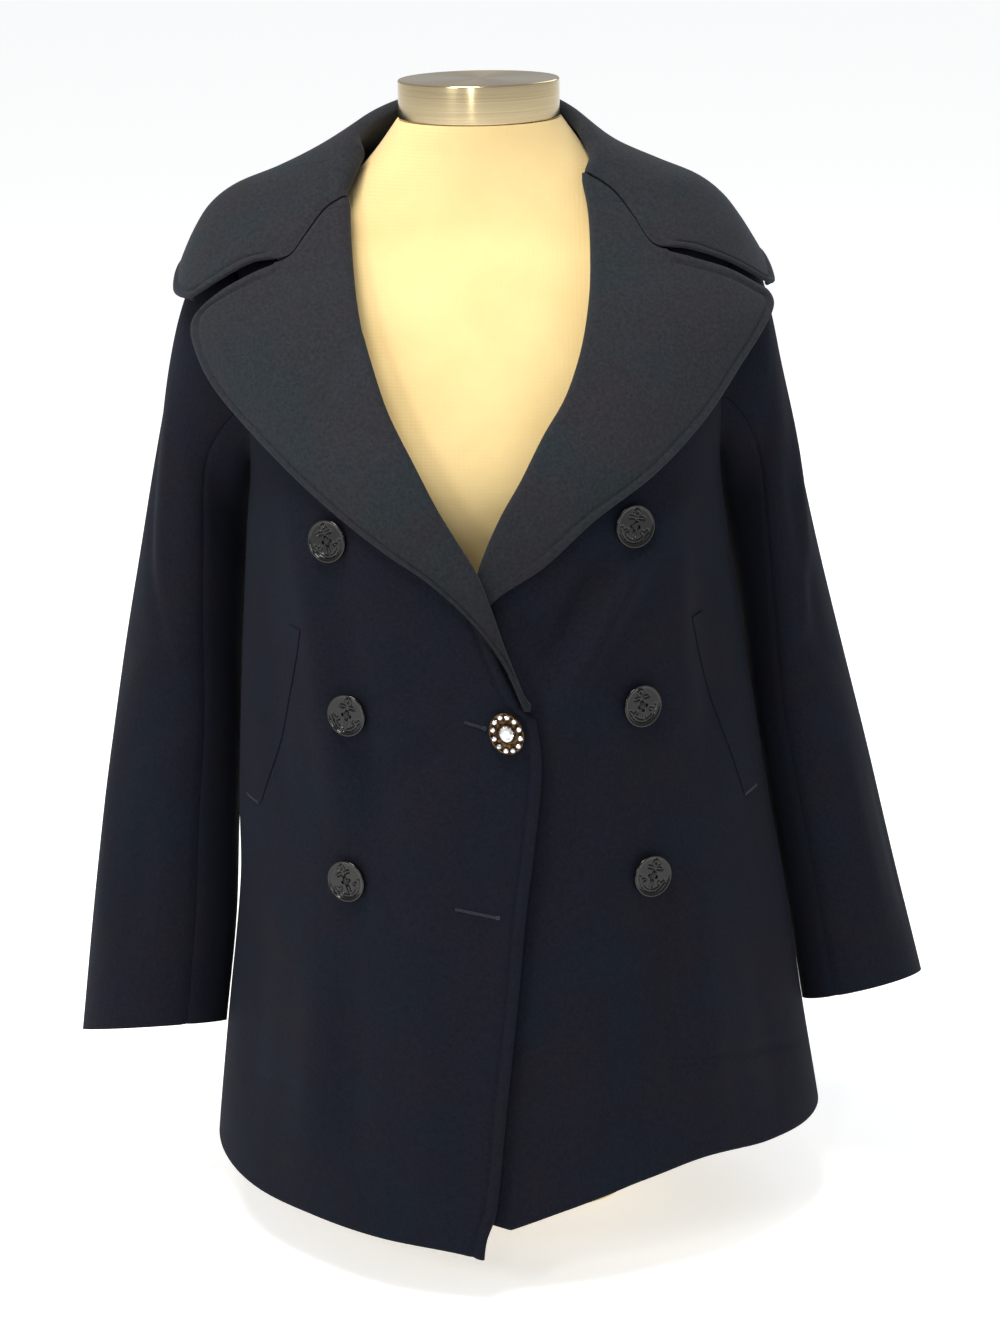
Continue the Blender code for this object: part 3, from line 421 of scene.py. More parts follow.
def ring_depth(rings, across, height):
    """How far the front of a ring stands from the side plane at a distance across."""
    side = np.where(across < 0, rings.read("right_side", height), rings.read("left_side", height))
    square = rings.read("front_square", height)
    left_over = np.maximum(1 - np.minimum(np.abs(across) / side, 1) ** square, 0)
    return rings.read("front", height) * left_over ** (1 / square)


def on_ring(rings, angle, height):
    """The point of a level ring at an angle: 0 in front, a quarter turn at its left."""
    across, ahead = np.sin(angle), np.cos(angle)
    side = np.where(across < 0, rings.read("right_side", height), rings.read("left_side", height))
    depth = np.where(ahead > 0, rings.read("front", height), rings.read("back", height))
    square = np.where(
        ahead > 0, rings.read("front_square", height), rings.read("back_square", height))
    radius = (np.abs(across / side) ** square + np.abs(ahead / depth) ** square) ** (-1 / square)
    return np.stack((radius * across, -radius * ahead, height + 0 * radius), axis=-1)


def angle_across(rings, across, height):
    return np.arctan2(across, ring_depth(rings, across, height))


def unit(vectors):
    return vectors / np.linalg.norm(vectors, axis=-1, keepdims=True)


def ring_normal(rings, angle, height, step=SLOPE_STEP):
    around = on_ring(rings, angle + step, height) - on_ring(rings, angle - step, height)
    rising = on_ring(rings, angle, height + step) - on_ring(rings, angle, height - step)
    return unit(np.cross(around, rising))


def pushed(points, angle, height, push):
    """Points on the body's surface, moved straight out from it."""
    return points + ring_normal(BODY, angle, height) * push[..., None]


def overlap_lift(angle):
    return OVERLAP_LIFT * eased(*OVERLAP_RISE, angle)


def lapel_lift(side, across, height):
    """How far a lapel's face stands out from the panel that it lies on."""
    over = ring_depth(OVER, across, height) - ring_depth(BODY, across, height)
    if side == "right":
        over = over - overlap_lift(angle_across(BODY, across, height))
    return LAPEL_LYING + np.maximum(over - LAPEL_LYING, 0) * eased(*LAPEL_RISE, height)


def roll_radius(side, height):
    lift = lapel_lift(side, ROLL[side].read("across", height), height)
    return np.minimum((lift + CLOTH) / 2, ROLL_RADIUS)


def front_edge(side, height):
    """The angle of a front's free edge, which the lapel's roll goes round."""
    roll, step = ROLL[side], ROLL_STEP
    over_break = np.maximum(height, roll.rows[0, 0])
    rise = roll.read("across", over_break + step) - roll.read("across", over_break - step)
    back = (roll_radius(side, over_break) + ROLL_CLEAR) * np.hypot(1, rise / (2 * step))
    behind = roll.read("across", over_break) + SIGN[side] * back
    below = OVERLAP_EDGE.read("across", height) if side == "right" else UNDERLAP_EDGE
    turned_in = eased(roll.rows[0, 0] - EDGE_TURN, roll.rows[0, 0], height)
    return angle_across(BODY, below + (behind - below) * turned_in, height)


def folded(across, height, folds):
    """How far soft folds push the cloth out."""
    push = np.zeros(np.shape(across))
    for from_across, from_up, to_across, to_up, bow, width, depth in folds.rows:
        run = np.array((to_across - from_across, to_up - from_up))
        length = np.hypot(*run)
        way = run / length
        along = ((across - from_across) * way[0] + (height - from_up) * way[1]) / length
        beside = (height - from_up) * way[0] - (across - from_across) * way[1]
        beside = beside - bow * 4 * along * (1 - along)
        ends = eased(*FOLD_ENDS, along) * eased(*FOLD_ENDS, 1 - along)
        push += depth * bell(beside, width) * ends
    return push


def front_push(side, across, height):
    """How far a front's face stands out from the body's surface, at a place on it."""
    push = folded(across, height, FRONT_FOLDS[side])
    if side == "right":
        push = push * (1 - eased(*LAP_ACROSS, across) * eased(*LAP_RISE, height))
    places = [place for name, place in BUTTON_PLACES.items() if name.startswith(side)]
    if side == "right":
        places.append(JEWEL_PLACE)
    for place in places:
        near = np.hypot(across - place[0], height - place[1])
        push = push * (1 - bell(near, BUTTON_DIMPLE))
    lift = overlap_lift(angle_across(BODY, across, height)) if side == "right" else 0
    return push + folded(across, height, HEM_LINES[side]) + lift


def turned_edge(distance):
    """The push of an edge that is turned and stitched: rounded, then a soft roll and a ditch."""
    swell = EDGE_PUFF * np.sin(np.pi * np.clip(distance / EDGE_BAND, 0, 1)) ** 0.7
    ditch = EDGE_DITCH * bell(distance - EDGE_BAND, DITCH_SHARE * EDGE_BAND)
    return swell - ditch - EDGE_ROUND * np.clip(1 - distance / EDGE_ROUND, 0, 1) ** 2


def grid_normals(points):
    """Unit normals of rows and columns of points; columns run anticlockwise and rows up."""
    return unit(np.cross(np.gradient(points, axis=1), np.gradient(points, axis=0)))


def run_lengths(points, axis):
    """How far each point is along its row (axis 1) or its column (axis 0)."""
    steps = np.linalg.norm(np.diff(points, axis=axis), axis=-1)
    start = np.zeros_like(np.take(steps, [0], axis=axis))
    return np.concatenate((start, np.cumsum(steps, axis=axis)), axis=axis)


def grid_through(points):
    """A sheet of squares through rows and columns of points."""
    rows, columns, _ = points.shape
    shape = bmesh.new()
    bmesh.ops.create_grid(shape, x_segments=columns - 1, y_segments=rows - 1, size=0.5)
    for vert, point in zip(shape.verts, points.reshape(-1, 3)):
        vert.co = point
    return shape


def piece_of(name, mesh, look):
    """Puts a mesh in the scene as a smooth piece of the part."""
    mesh.materials.append(look)
    mesh.shade_smooth()
    piece = in_scene(name, mesh)
    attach(piece, "root")
    return piece


def cloth_piece(name, points, cloth, thickness=CLOTH, rounding=0.0004):
    """A piece of cloth whose face goes through rows and columns of points."""
    shape = grid_through(points)
    shape.normal_update()
    piece = piece_of(name, mesh_of(name, shape), cloth)
    wall = piece.modifiers.new("wall", "SOLIDIFY")
    wall.thickness = thickness
    wall.offset = -1
    rim = piece.modifiers.new("soft edges", "BEVEL")
    rim.width = rounding
    rim.segments = 3
    rim.limit_method = "ANGLE"
    rim.angle_limit = math.radians(50)
    return piece


def melton(name, shade, warm, cool, sheen, sheen_tint, painted_shade_at_foot=1.0):
    """Wool melton: fulled and brushed, so the weave is gone and a short matted nap shows.

    The nap gives a soft grain about 1 mm across, a cloudy shade a few centimetres
    across, and a faint haze at glancing angles. The last argument darkens the colour towards the break,
    a painted shade for the dimmer light low on the lapels.
    """
    look = Look(name)
    nap = look.noise(0.0022, 4.0, 0.65)
    cloudy = look.ramp(look.noise(0.055, 3.0, 0.55), (0.36, cool), (0.5, shade), (0.66, warm))
    colour = look.product(cloudy, look.spread(nap, (0.3, 0.7), (0.72, 1.30)))
    # Painted shade: the colour darkens with falling height towards the break, where less light falls.
    upward = look.node("ShaderNodeSeparateXYZ", {"Vector": look.place}).outputs["Z"]
    painted_shade_by_height = look.spread(upward, (0.42, 0.60), (painted_shade_at_foot, 1.0))
    fibres = look.noise(0.0007, 3.0, 0.7)
    return look.surface({
        "Base Color": look.product(colour, painted_shade_by_height),
        "Normal": look.bump(look.total(nap, fibres), 0.35, 0.0006),
        "Roughness": 0.92, "Specular IOR Level": 0.08,
        "Sheen Weight": sheen, "Sheen Roughness": 0.55, "Sheen Tint": linear(sheen_tint)})


navy_melton = melton("navy_wool_melton", "#12141D", "#15141C", "#10151E", 0.04, "#8A93AC")

CHEST_ROWS, ARMHOLE_ROWS, SHOULDER_ROWS = 36, 48, 12
FRONT_SKIRT_ROWS, FRONT_COLUMNS = 176, 104
HEM_CROWDING = 1.25             # rows stand closer towards the hem, and columns and
EDGE_CROWDING = 1.6             # stations closer towards a free edge, by these powers
SEAM_CALM = 0.08                # folds fade out over this share of a panel by its seams
OUTLINE_CROWDING = 1.5
CUFF_CROWDING = 1.12
HEM_TURN = 1.6 * EDGE_ROUND     # the hem turns in over this height


def panel_levels(skirt_rows):
    """Rows up a panel: 0 at the hem, 1 the waist, 2 the armhole's foot, 3 its head, 4 the top."""
    counts = (skirt_rows, CHEST_ROWS, ARMHOLE_ROWS, SHOULDER_ROWS)
    levels = [start + np.arange(count) / count for start, count in enumerate(counts)]
    levels[0] = levels[0] ** HEM_CROWDING
    return np.append(np.concatenate(levels), 4)


def hem_round(points):
    """How far the cloth turns in over the last two millimetres of its hem."""
    from_hem = run_lengths(points, 0)
    return EDGE_ROUND * np.clip(1 - from_hem / HEM_TURN, 0, 1) ** 2


def level_height(level, waist, top):
    """The height of a row from the waist up."""
    foot, head = ARMHOLE_MIDDLE - ARMHOLE_HALF_HEIGHT, ARMHOLE_MIDDLE + ARMHOLE_HALF_HEIGHT
    chest = waist + (foot - waist) * np.clip(level - 1, 0, 1)
    arm = ARMHOLE_MIDDLE - ARMHOLE_HALF_HEIGHT * np.cos(np.pi * np.clip(level - 2, 0, 1))
    shoulder = head + (top - head) * np.clip(level - 3, 0, 1)
    return np.where(level < 2, chest, np.where(level < 3, arm, shoulder))


def armhole_angle(height, reach):
    """How far the armhole's edge is from the side seam at a height."""
    rise = (height - ARMHOLE_MIDDLE) / ARMHOLE_HALF_HEIGHT
    return reach * np.sqrt(np.maximum(1 - rise * rise, 0))


def front_points(side):
    waist = ROLL[side].rows[0, 0] - EDGE_TURN
    u, level = np.meshgrid(
        np.linspace(0, 1, FRONT_COLUMNS + 1) ** EDGE_CROWDING, panel_levels(FRONT_SKIRT_ROWS))
    height = np.where(level < 1, waist * level, level_height(level, waist, SHOULDER_TOP))
    for _ in range(4):
        edge = front_edge(side, height)
        arm = np.where((level > 2) & (level < 3), armhole_angle(height, ARMHOLE_FRONT), 0)
        angle = edge + (SIGN[side] * (SIDE - arm) - edge) * u
        bottom = HEM.read(side, np.degrees(np.abs(angle)))
        height = np.where(level < 1, bottom + (waist - bottom) * level, height)
    points = on_ring(BODY, angle, height)
    sideways = eased(0, SEAM_CALM, 1 - u)
    push = front_push(side, points[..., 0], height)
    lift = overlap_lift(angle) if side == "right" else 0
    push = lift + (push - lift) * sideways - hem_round(points)
    points = pushed(points, angle, height, push)
    points[..., 1] = np.minimum(points[..., 1], -HALF_GAP)
    if side == "right":
        return pushed(points, angle, height, turned_edge(run_lengths(points, 1)))[:, ::-1]
    return points


for side in ("right", "left"):
    front = cloth_piece(f"coat_front_{side}", front_points(side), navy_melton)
    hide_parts(f"front_{side}")


# ---- Backs ---------------------------------------------------------------------------
# Two back panels of the same melton, seamed down the middle and to the fronts at the
# sides, with the armholes' back halves cut out of them.

ARMHOLE_BACK = math.radians(22.0)
BACK_NECK = 0.766               # the neck seam at the centre back
BACK_SKIRT_ROWS, BACK_COLUMNS = 110, 76
SEAM_SINK = 0.0010              # a pressed seam draws the cloth in
SEAM_WIDTH = 0.0035
BACK_CALM = (0.12, 0.10)        # folds fade out by the side seam and by the centre back
BACK_FOLDS = {
    "right": Table(
        FOLD_COLUMNS,
        (-0.120, 0.560, -0.104, 0.360, 0.004, 0.0160, 0.0032),
        (-0.084, 0.600, -0.058, 0.420, -0.004, 0.0180, -0.0024),
        (-0.052, 0.380, -0.076, 0.080, 0.006, 0.0220, 0.0036),
        (-0.104, 0.330, -0.128, 0.070, -0.003, 0.0180, -0.0030),
        (-0.146, 0.300, -0.168, 0.080, 0.004, 0.0160, 0.0030),
        (-0.020, 0.300, -0.030, 0.090, 0.002, 0.0140, -0.0020),
    ),
    "left": Table(
        FOLD_COLUMNS,
        (0.112, 0.580, 0.092, 0.400, -0.003, 0.0170, 0.0028),
        (0.066, 0.620, 0.060, 0.440, 0.004, 0.0160, -0.0022),
        (0.040, 0.400, 0.052, 0.120, -0.004, 0.0200, 0.0030),
        (0.088, 0.350, 0.110, 0.080, 0.005, 0.0190, -0.0032),
        (0.134, 0.310, 0.164, 0.070, -0.004, 0.0170, 0.0034),
        (0.176, 0.240, 0.196, 0.080, 0.001, 0.0120, -0.0022),
    ),
}


def seam_dip(distance):
    return SEAM_SINK * bell(distance, SEAM_WIDTH)


def back_points(side):
    sign = SIGN[side]
    waist = ROLL["left"].rows[0, 0] - EDGE_TURN
    u, level = np.meshgrid(np.linspace(0, 1, BACK_COLUMNS + 1), panel_levels(BACK_SKIRT_ROWS))
    top = SHOULDER_TOP + (BACK_NECK - SHOULDER_TOP) * eased(0, 1, u)
    height = level_height(level, waist, top)
    arm = np.where((level > 2) & (level < 3), armhole_angle(height, ARMHOLE_BACK), 0)
    angle = sign * (SIDE + arm + (math.pi - SIDE - arm) * u)
    bottom = HEM.read(side, np.degrees(np.abs(angle)))
    height = np.where(level < 1, bottom + (waist - bottom) * level, height)
    points = on_ring(BODY, angle, height)
    push = folded(points[..., 0], height, BACK_FOLDS[side])
    push = push * eased(0, BACK_CALM[0], u) * eased(0, BACK_CALM[1], 1 - u)
    push = push - seam_dip(points[..., 0]) - hem_round(points)
    points = pushed(points, angle, height, push)
    points[..., 1] = np.maximum(points[..., 1], HALF_GAP)
    points[..., 0] = sign * np.maximum(sign * points[..., 0], HALF_GAP)
    return points[:, ::-1] if side == "right" else points


for side in ("right", "left"):
    back = cloth_piece(f"coat_back_{side}", back_points(side), navy_melton)
    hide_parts(f"back_{side}")


# ---- Sleeves -------------------------------------------------------------------------
# Two-piece sleeves set into the armholes: a wide upper piece and a narrower under
# piece, seamed at the forearm and the elbow, hanging just clear of the body.

ARMHOLE_STEPS = 8
ARMHOLE_GAP = 0.0007
ARMHOLE_ACROSS = 0.17           # from the middle of the body
SLEEVE_AROUND = 0.040           # the least half width of a sleeve at its seams
SLEEVE_SEAM = 5                 # forearm and elbow seams, in armhole steps from the head
SLEEVE_JOIN = 0.12              # the share of its length over which it leaves the armhole
SLEEVE_ROWS, UPPER_COLUMNS, UNDER_COLUMNS = 150, 88, 48
SLEEVE_LENGTH = 0.61
SLEEVE_RADIUS = 0.066           # its mean, so that turns become distances
SLEEVE_CALM = 0.016             # folds fade out this near to a seam
SLEEVE_FOLDS_START = (0.03, 0.2)   # and over these shares of its length from the armhole
SLEEVE_DIP_START = 0.05         # and the dip along its seams fades in over this one
SLEEVE_COLUMNS = (
    "share", "outer", "outer_height", "inner", "inner_height", "middle", "depth", "lift", "swing")
SLEEVE = {
    "right": Table(
        SLEEVE_COLUMNS,
        (0.08, -0.2030, 0.6980, -0.1755, 0.5400, 0.012, 0.0600, 0.000, -0.009),
        (0.16, -0.2170, 0.6570, -0.1780, 0.5150, 0.024, 0.0620, 0.000, -0.012),
        (0.28, -0.2335, 0.5890, -0.1795, 0.4750, 0.034, 0.0660, 0.000, -0.009),
        (0.42, -0.2535, 0.5000, -0.1840, 0.4200, 0.042, 0.0680, 0.000, -0.003),
        (0.56, -0.2715, 0.4150, -0.1884, 0.3550, 0.042, 0.0670, 0.004, 0.004),
        (0.70, -0.2885, 0.3170, -0.1938, 0.2800, 0.037, 0.0640, 0.009, 0.006),
        (0.84, -0.3020, 0.2290, -0.1982, 0.2100, 0.030, 0.0600, 0.015, 0.008),
        (1.00, -0.3160, 0.1235, -0.2086, 0.1290, 0.022, 0.0560, 0.021, 0.010),
    ),
    "left": Table(
        SLEEVE_COLUMNS,
        (0.08, 0.1810, 0.6960, 0.1605, 0.5400, 0.012, 0.0600, 0.000, 0.009),
        (0.16, 0.1900, 0.6570, 0.1630, 0.5150, 0.024, 0.0620, 0.000, 0.012),
        (0.28, 0.2045, 0.5900, 0.1680, 0.4750, 0.034, 0.0660, 0.000, 0.009),
        (0.42, 0.2255, 0.5000, 0.1755, 0.4200, 0.042, 0.0680, 0.000, 0.003),
        (0.56, 0.2465, 0.4150, 0.1855, 0.3500, 0.044, 0.0670, 0.004, -0.004),
        (0.70, 0.2690, 0.3250, 0.1975, 0.2780, 0.044, 0.0650, 0.008, -0.006),
        (0.84, 0.2890, 0.2400, 0.2100, 0.2090, 0.041, 0.0620, 0.012, -0.008),
        (1.00, 0.3100, 0.1530, 0.2215, 0.1340, 0.035, 0.0580, 0.016, -0.010),
    ),
}
# Folds on the sleeves: across is the distance round from the outer side towards the
# front, and up the distance down from the armhole, both in metres.
SLEEVE_FOLDS = {
    "right": Table(
        FOLD_COLUMNS,
        (0.020, 0.150, 0.096, 0.330, 0.008, 0.0130, -0.0024),
        (0.060, 0.120, 0.064, 0.300, -0.004, 0.0160, 0.0026),
        (0.110, 0.290, 0.030, 0.370, 0.004, 0.0120, 0.0022),
        (0.112, 0.350, 0.046, 0.400, 0.003, 0.0100, -0.0020),
        (0.024, 0.380, 0.040, 0.560, 0.005, 0.0170, 0.0022),
        (0.076, 0.420, 0.070, 0.560, -0.003, 0.0150, -0.0020),
        (-0.040, 0.180, -0.080, 0.360, 0.006, 0.0150, -0.0024),
        (-0.090, 0.300, -0.030, 0.380, -0.004, 0.0120, 0.0022),
        (-0.060, 0.400, -0.050, 0.560, 0.003, 0.0160, 0.0020),
    ),
    "left": Table(
        FOLD_COLUMNS,
        (0.030, 0.140, 0.086, 0.300, 0.006, 0.0150, 0.0026),
        (0.086, 0.160, 0.060, 0.330, 0.004, 0.0130, -0.0024),
        (0.106, 0.300, 0.034, 0.350, 0.004, 0.0110, -0.0022),
        (0.108, 0.340, 0.024, 0.400, -0.003, 0.0120, 0.0022),
        (0.060, 0.400, 0.056, 0.570, -0.004, 0.0160, 0.0024),
        (0.020, 0.430, 0.016, 0.570, 0.003, 0.0140, -0.0018),
        (-0.050, 0.160, -0.090, 0.340, -0.005, 0.0160, 0.0024),
        (-0.100, 0.320, -0.040, 0.390, 0.003, 0.0110, -0.0022),
        (-0.070, 0.420, -0.060, 0.570, 0.004, 0.0150, 0.0020),
    ),
}


def armhole_point(side, turn):
    """A point of the armhole's edge, a gap inside it: turn 0 at its head."""
    height = ARMHOLE_MIDDLE + (ARMHOLE_HALF_HEIGHT - ARMHOLE_GAP) * np.cos(turn)
    forward = np.sin(turn)
    reach = np.where(forward > 0, ARMHOLE_FRONT, ARMHOLE_BACK) - ARMHOLE_GAP / ARMHOLE_ACROSS
    return on_ring(BODY, SIGN[side] * (SIDE - reach * forward), height)


def tube_point(side, share, turn):
    """A point of the sleeve's tube: turn 0 at its outer side, a quarter turn in front."""
    table = SLEEVE[side]
    zero = np.zeros_like(share)
    outer = np.stack((table.read("outer", share), zero, table.read("outer_height", share)), axis=-1)
    inner = np.stack((table.read("inner", share), zero, table.read("inner_height", share)), axis=-1)
    middle = (outer + inner) / 2
    middle[..., 1] += table.read("middle", share)
    ahead = np.stack(
        (table.read("swing", share), -table.read("depth", share), table.read("lift", share)), axis=-1)
    return middle + (outer - inner) / 2 * np.cos(turn)[..., None] + ahead * np.sin(turn)[..., None]


def sleeve_points(side, first_step, last_step, columns):
    gap = HALF_GAP / SLEEVE_AROUND
    step = math.pi / ARMHOLE_STEPS
    turns = np.linspace(first_step * step + gap, last_step * step - gap, columns + 1)
    shares = (np.arange(SLEEVE_ROWS, -1, -1) / SLEEVE_ROWS) ** CUFF_CROWDING
    turn, share = np.meshgrid(turns, shares)
    tube = tube_point(side, share, turn)
    joined = eased(0, SLEEVE_JOIN, share)[..., None]
    points = armhole_point(side, turn) * (1 - joined) + tube * joined
    if side == "left":
        points, turn, share = points[:, ::-1], turn[:, ::-1], share[:, ::-1]
    round_turn = np.remainder(turn + math.pi, 2 * math.pi) - math.pi
    push = folded(round_turn * SLEEVE_RADIUS, share * SLEEVE_LENGTH, SLEEVE_FOLDS[side])
    to_seam = np.minimum(run_lengths(points, 1), run_lengths(points[:, ::-1], 1)[:, ::-1])
    push = push * eased(0, SLEEVE_CALM, to_seam) * eased(*SLEEVE_FOLDS_START, share)
    push = push - seam_dip(to_seam) * eased(0, SLEEVE_DIP_START, share)
    return points + grid_normals(points) * push[..., None]


for side in ("right", "left"):
    pieces = (
        ("upper", -SLEEVE_SEAM, SLEEVE_SEAM, UPPER_COLUMNS, (0.24, 0.61), 0.113),
        ("under", SLEEVE_SEAM, 2 * ARMHOLE_STEPS - SLEEVE_SEAM, UNDER_COLUMNS, (0.15, 0.50), 0.060),
    )
    for part, first_step, last_step, columns, cut, cut_area in pieces:
        points = sleeve_points(side, first_step, last_step, columns)
        sleeve = cloth_piece(f"coat_sleeve_{side}_{part}", points, navy_melton)
        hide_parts(f"sleeve_{side}_{part}")


# ---- Lapels --------------------------------------------------------------------------
# Wide rounded lapels, cut on in facing cloth and folded back at a soft, unpressed roll.
# The turned edge has a rounded band 8 mm wide. Their cloth is painted lighter than the body's, for the
# overhead light that it catches, and a painted shade darkens it towards the break.

LAPEL_ROWS, ROLL_COLUMNS, LAPEL_COLUMNS = 132, 16, 74
ROLL_LEAD = 0.12                # the share of a row that gives the way across its roll
GORGE_SEAM_GAP = 0.0010
GORGE_TUCK = {"right": 0.0010, "left": -0.0008}   # the lapel's roll is drawn to the collar's
CORNER_BLEND = 0.006            # two turned edges meet in a corner this round
FOOT_BLEND = 0.0036             # and the lapel's foot in this one
NORMAL_STEP = 0.003             # a lapel's slopes are taken over this distance
COLLAR_STEP = 0.002             # and the collar's over this one
CLOSED_EDGE = 0.1               # a distance that puts a sewn edge out of reach
GORGE_TUCK_REACH = 0.020
NOTCH_OPENS = (-0.03, 0.05)     # the notch opens over this share of the gorge
LEFT_SWELL = (0.505, 0.545)     # below this the left lapel lies flat under the right front
LAPEL_BELLY = 0.0018            # how far the middle of the lapel stands proud
BELLY_TOP = 1.1                 # it ends a little below the gorge
LAPEL_EDGE = {
    "right": Table(
        ("share", "across", "height"),
        (0.00, 0.0155, 0.4235),
        (0.08, 0.0020, 0.4560),
        (0.15, -0.0165, 0.4822),
        (0.24, -0.0450, 0.5090),
        (0.34, -0.0779, 0.5305),
        (0.46, -0.1197, 0.5599),
        (0.60, -0.1621, 0.5969),
        (0.72, -0.1900, 0.6260),
        (0.82, -0.2025, 0.6510),
        (0.90, -0.2040, 0.6660),
        (1.00, -0.1960, 0.6785),
    ),
    "left": Table(
        ("share", "across", "height"),
        (0.00, -0.0210, 0.4690),
        (0.10, -0.0032, 0.4953),
        (0.22, 0.0300, 0.5166),
        (0.34, 0.0650, 0.5460),
        (0.48, 0.1069, 0.5734),
        (0.62, 0.1419, 0.6051),
        (0.74, 0.1670, 0.6370),
        (0.84, 0.1830, 0.6570),
        (0.92, 0.1905, 0.6690),
        (1.00, 0.1880, 0.6790),
    ),
}
# Gorge seam and notch, from the roll out to the tips; the lapel's side lies lower by
# the notch's opening.
GORGE = {
    "right": Table(
        ("share", "across", "height", "opening"),
        (0.00, -0.0970, 0.7510, 0.0),
        (0.16, -0.1120, 0.7420, 0.0),
        (0.30, -0.1250, 0.7265, 0.0),
        (0.40, -0.1360, 0.7135, 0.0),
        (0.60, -0.1610, 0.7075, 0.0055),
        (0.80, -0.1840, 0.6955, 0.0060),
        (1.00, -0.2060, 0.6810, 0.0075),
    ),
    "left": Table(
        ("share", "across", "height", "opening"),
        (0.00, 0.0640, 0.7630, 0.0),
        (0.16, 0.0820, 0.7510, 0.0),
        (0.30, 0.0950, 0.7350, 0.0),
        (0.42, 0.1080, 0.7170, 0.0),
        (0.60, 0.1330, 0.7110, 0.0035),
        (0.80, 0.1610, 0.7000, 0.0032),
        (1.00, 0.1900, 0.6820, 0.0030),
    ),
}


def lapel_outline(side, u, v):
    """Across and up, u from the roll to the outer edge and v from the break to the gorge."""
    roll, edge, gorge = ROLL[side], LAPEL_EDGE[side], GORGE[side]
    foot, top = roll.rows[0, 0], gorge.rows[0, 2] - GORGE_SEAM_GAP

    def rolled(share):
        height = foot + (top - foot) * share
        return np.stack((roll.read("across", height), height), axis=-1)

    def edged(share):
        return np.stack((edge.read("across", share), edge.read("height", share)), axis=-1)

    def gorged(share):
        lower = gorge.read("height", share) - gorge.read("opening", share) - GORGE_SEAM_GAP
        return np.stack((gorge.read("across", share), lower), axis=-1)

    one = np.ones_like(u)
    zero = np.zeros_like(u)
    across, up = u[..., None], v[..., None]
    topped = gorged(u) + (edged(one) - gorged(one)) * across ** 4
    topped = topped + (rolled(one) - gorged(zero)) * (1 - across) ** 4
    footed = rolled(zero) * (1 - across) + edged(zero) * across
    corners = footed * (1 - up) + (rolled(one) * (1 - across) + edged(one) * across) * up
    return (rolled(v) * (1 - across) + edged(v) * across
            + footed * (1 - up) + topped * up - corners)


def lapel_depth(side, across, height):
    """How far the lapel's face stands in front of the side plane."""
    depth = ring_depth(BODY, across, height) + lapel_lift(side, across, height)
    if side == "right":
        depth = depth + overlap_lift(angle_across(BODY, across, height))
    return depth


def lapel_face(side, u, v):
    """The lapel's outer face away from its roll, and the normal there."""
    across, height = np.moveaxis(lapel_outline(side, u, v), -1, 0)
    step = NORMAL_STEP
    depth = lapel_depth(side, across, height)
    slope_across = lapel_depth(side, across + step, height) - lapel_depth(side, across - step, height)
    slope_up = lapel_depth(side, across, height + step) - lapel_depth(side, across, height - step)
    normal = unit(np.stack((-slope_across, np.full_like(depth, -2 * step), -slope_up), axis=-1))
    return np.stack((across, -depth, height), axis=-1), normal


def rolled_points(face, rows, radius, places, inward=0.0):
    """Rows of points that go round a roll and then out along a face.

    face(u, rows) gives points and normals, u 0 at the roll and 1 at the outer edge.
    inward is how much further in than that face the roll's inner side stands.
    """
    zero = np.zeros_like(rows)
    start, normal = face(zero, rows)
    edge, _ = face(zero + 1, rows)
    ahead, _ = face(zero + ROLL_LEAD, rows)
    way = ahead - start
    way = unit(way - normal * np.sum(way * normal, axis=-1, keepdims=True))
    width = np.linalg.norm(edge - start, axis=-1)
    radius = np.maximum(np.minimum(radius, width * 0.5), CLOTH + 2 * HALF_GAP) + inward / 2
    middle = start - way * (inward + 0 * rows)[:, None] + (way - normal) * radius[:, None]
    first = np.clip((radius - inward) / width, 0.001, 0.5)
    joined, _ = face(first, rows)
    turned = np.arange(ROLL_COLUMNS) / ROLL_COLUMNS
    angle = (-math.pi / 2 - math.pi * turned)[None, :, None]
    spoke = way[:, None] * np.cos(angle) + normal[:, None] * np.sin(angle)
    bend = middle[:, None] + spoke * radius[:, None, None]
    settle = joined - (middle + normal * radius[:, None])
    bend = bend + settle[:, None] * eased(0, 1, turned)[None, :, None]
    u = first[:, None] + (1 - first[:, None]) * places[None, :]
    flat, _ = face(u, rows[:, None] + 0 * u)
    return np.concatenate((bend, flat), axis=1)


def crowded(count):
    """Steps from 0 to 1 that stand closer towards 1."""
    return 1 - (1 - np.linspace(0, 1, count + 1)) ** OUTLINE_CROWDING


def opened(side, across):
    """0 where the gorge is sewn together, 1 where its notch is open."""
    notch = GORGE[side].rows[3, 0]
    return eased(notch + NOTCH_OPENS[0], notch + NOTCH_OPENS[1], across)


def smaller_of(first, second, blend):
    """The smaller of two distances, rounded over where they meet."""
    mix = np.clip(0.5 + 0.5 * (second - first) / blend, 0, 1)
    return second + (first - second) * mix - blend * mix * (1 - mix)


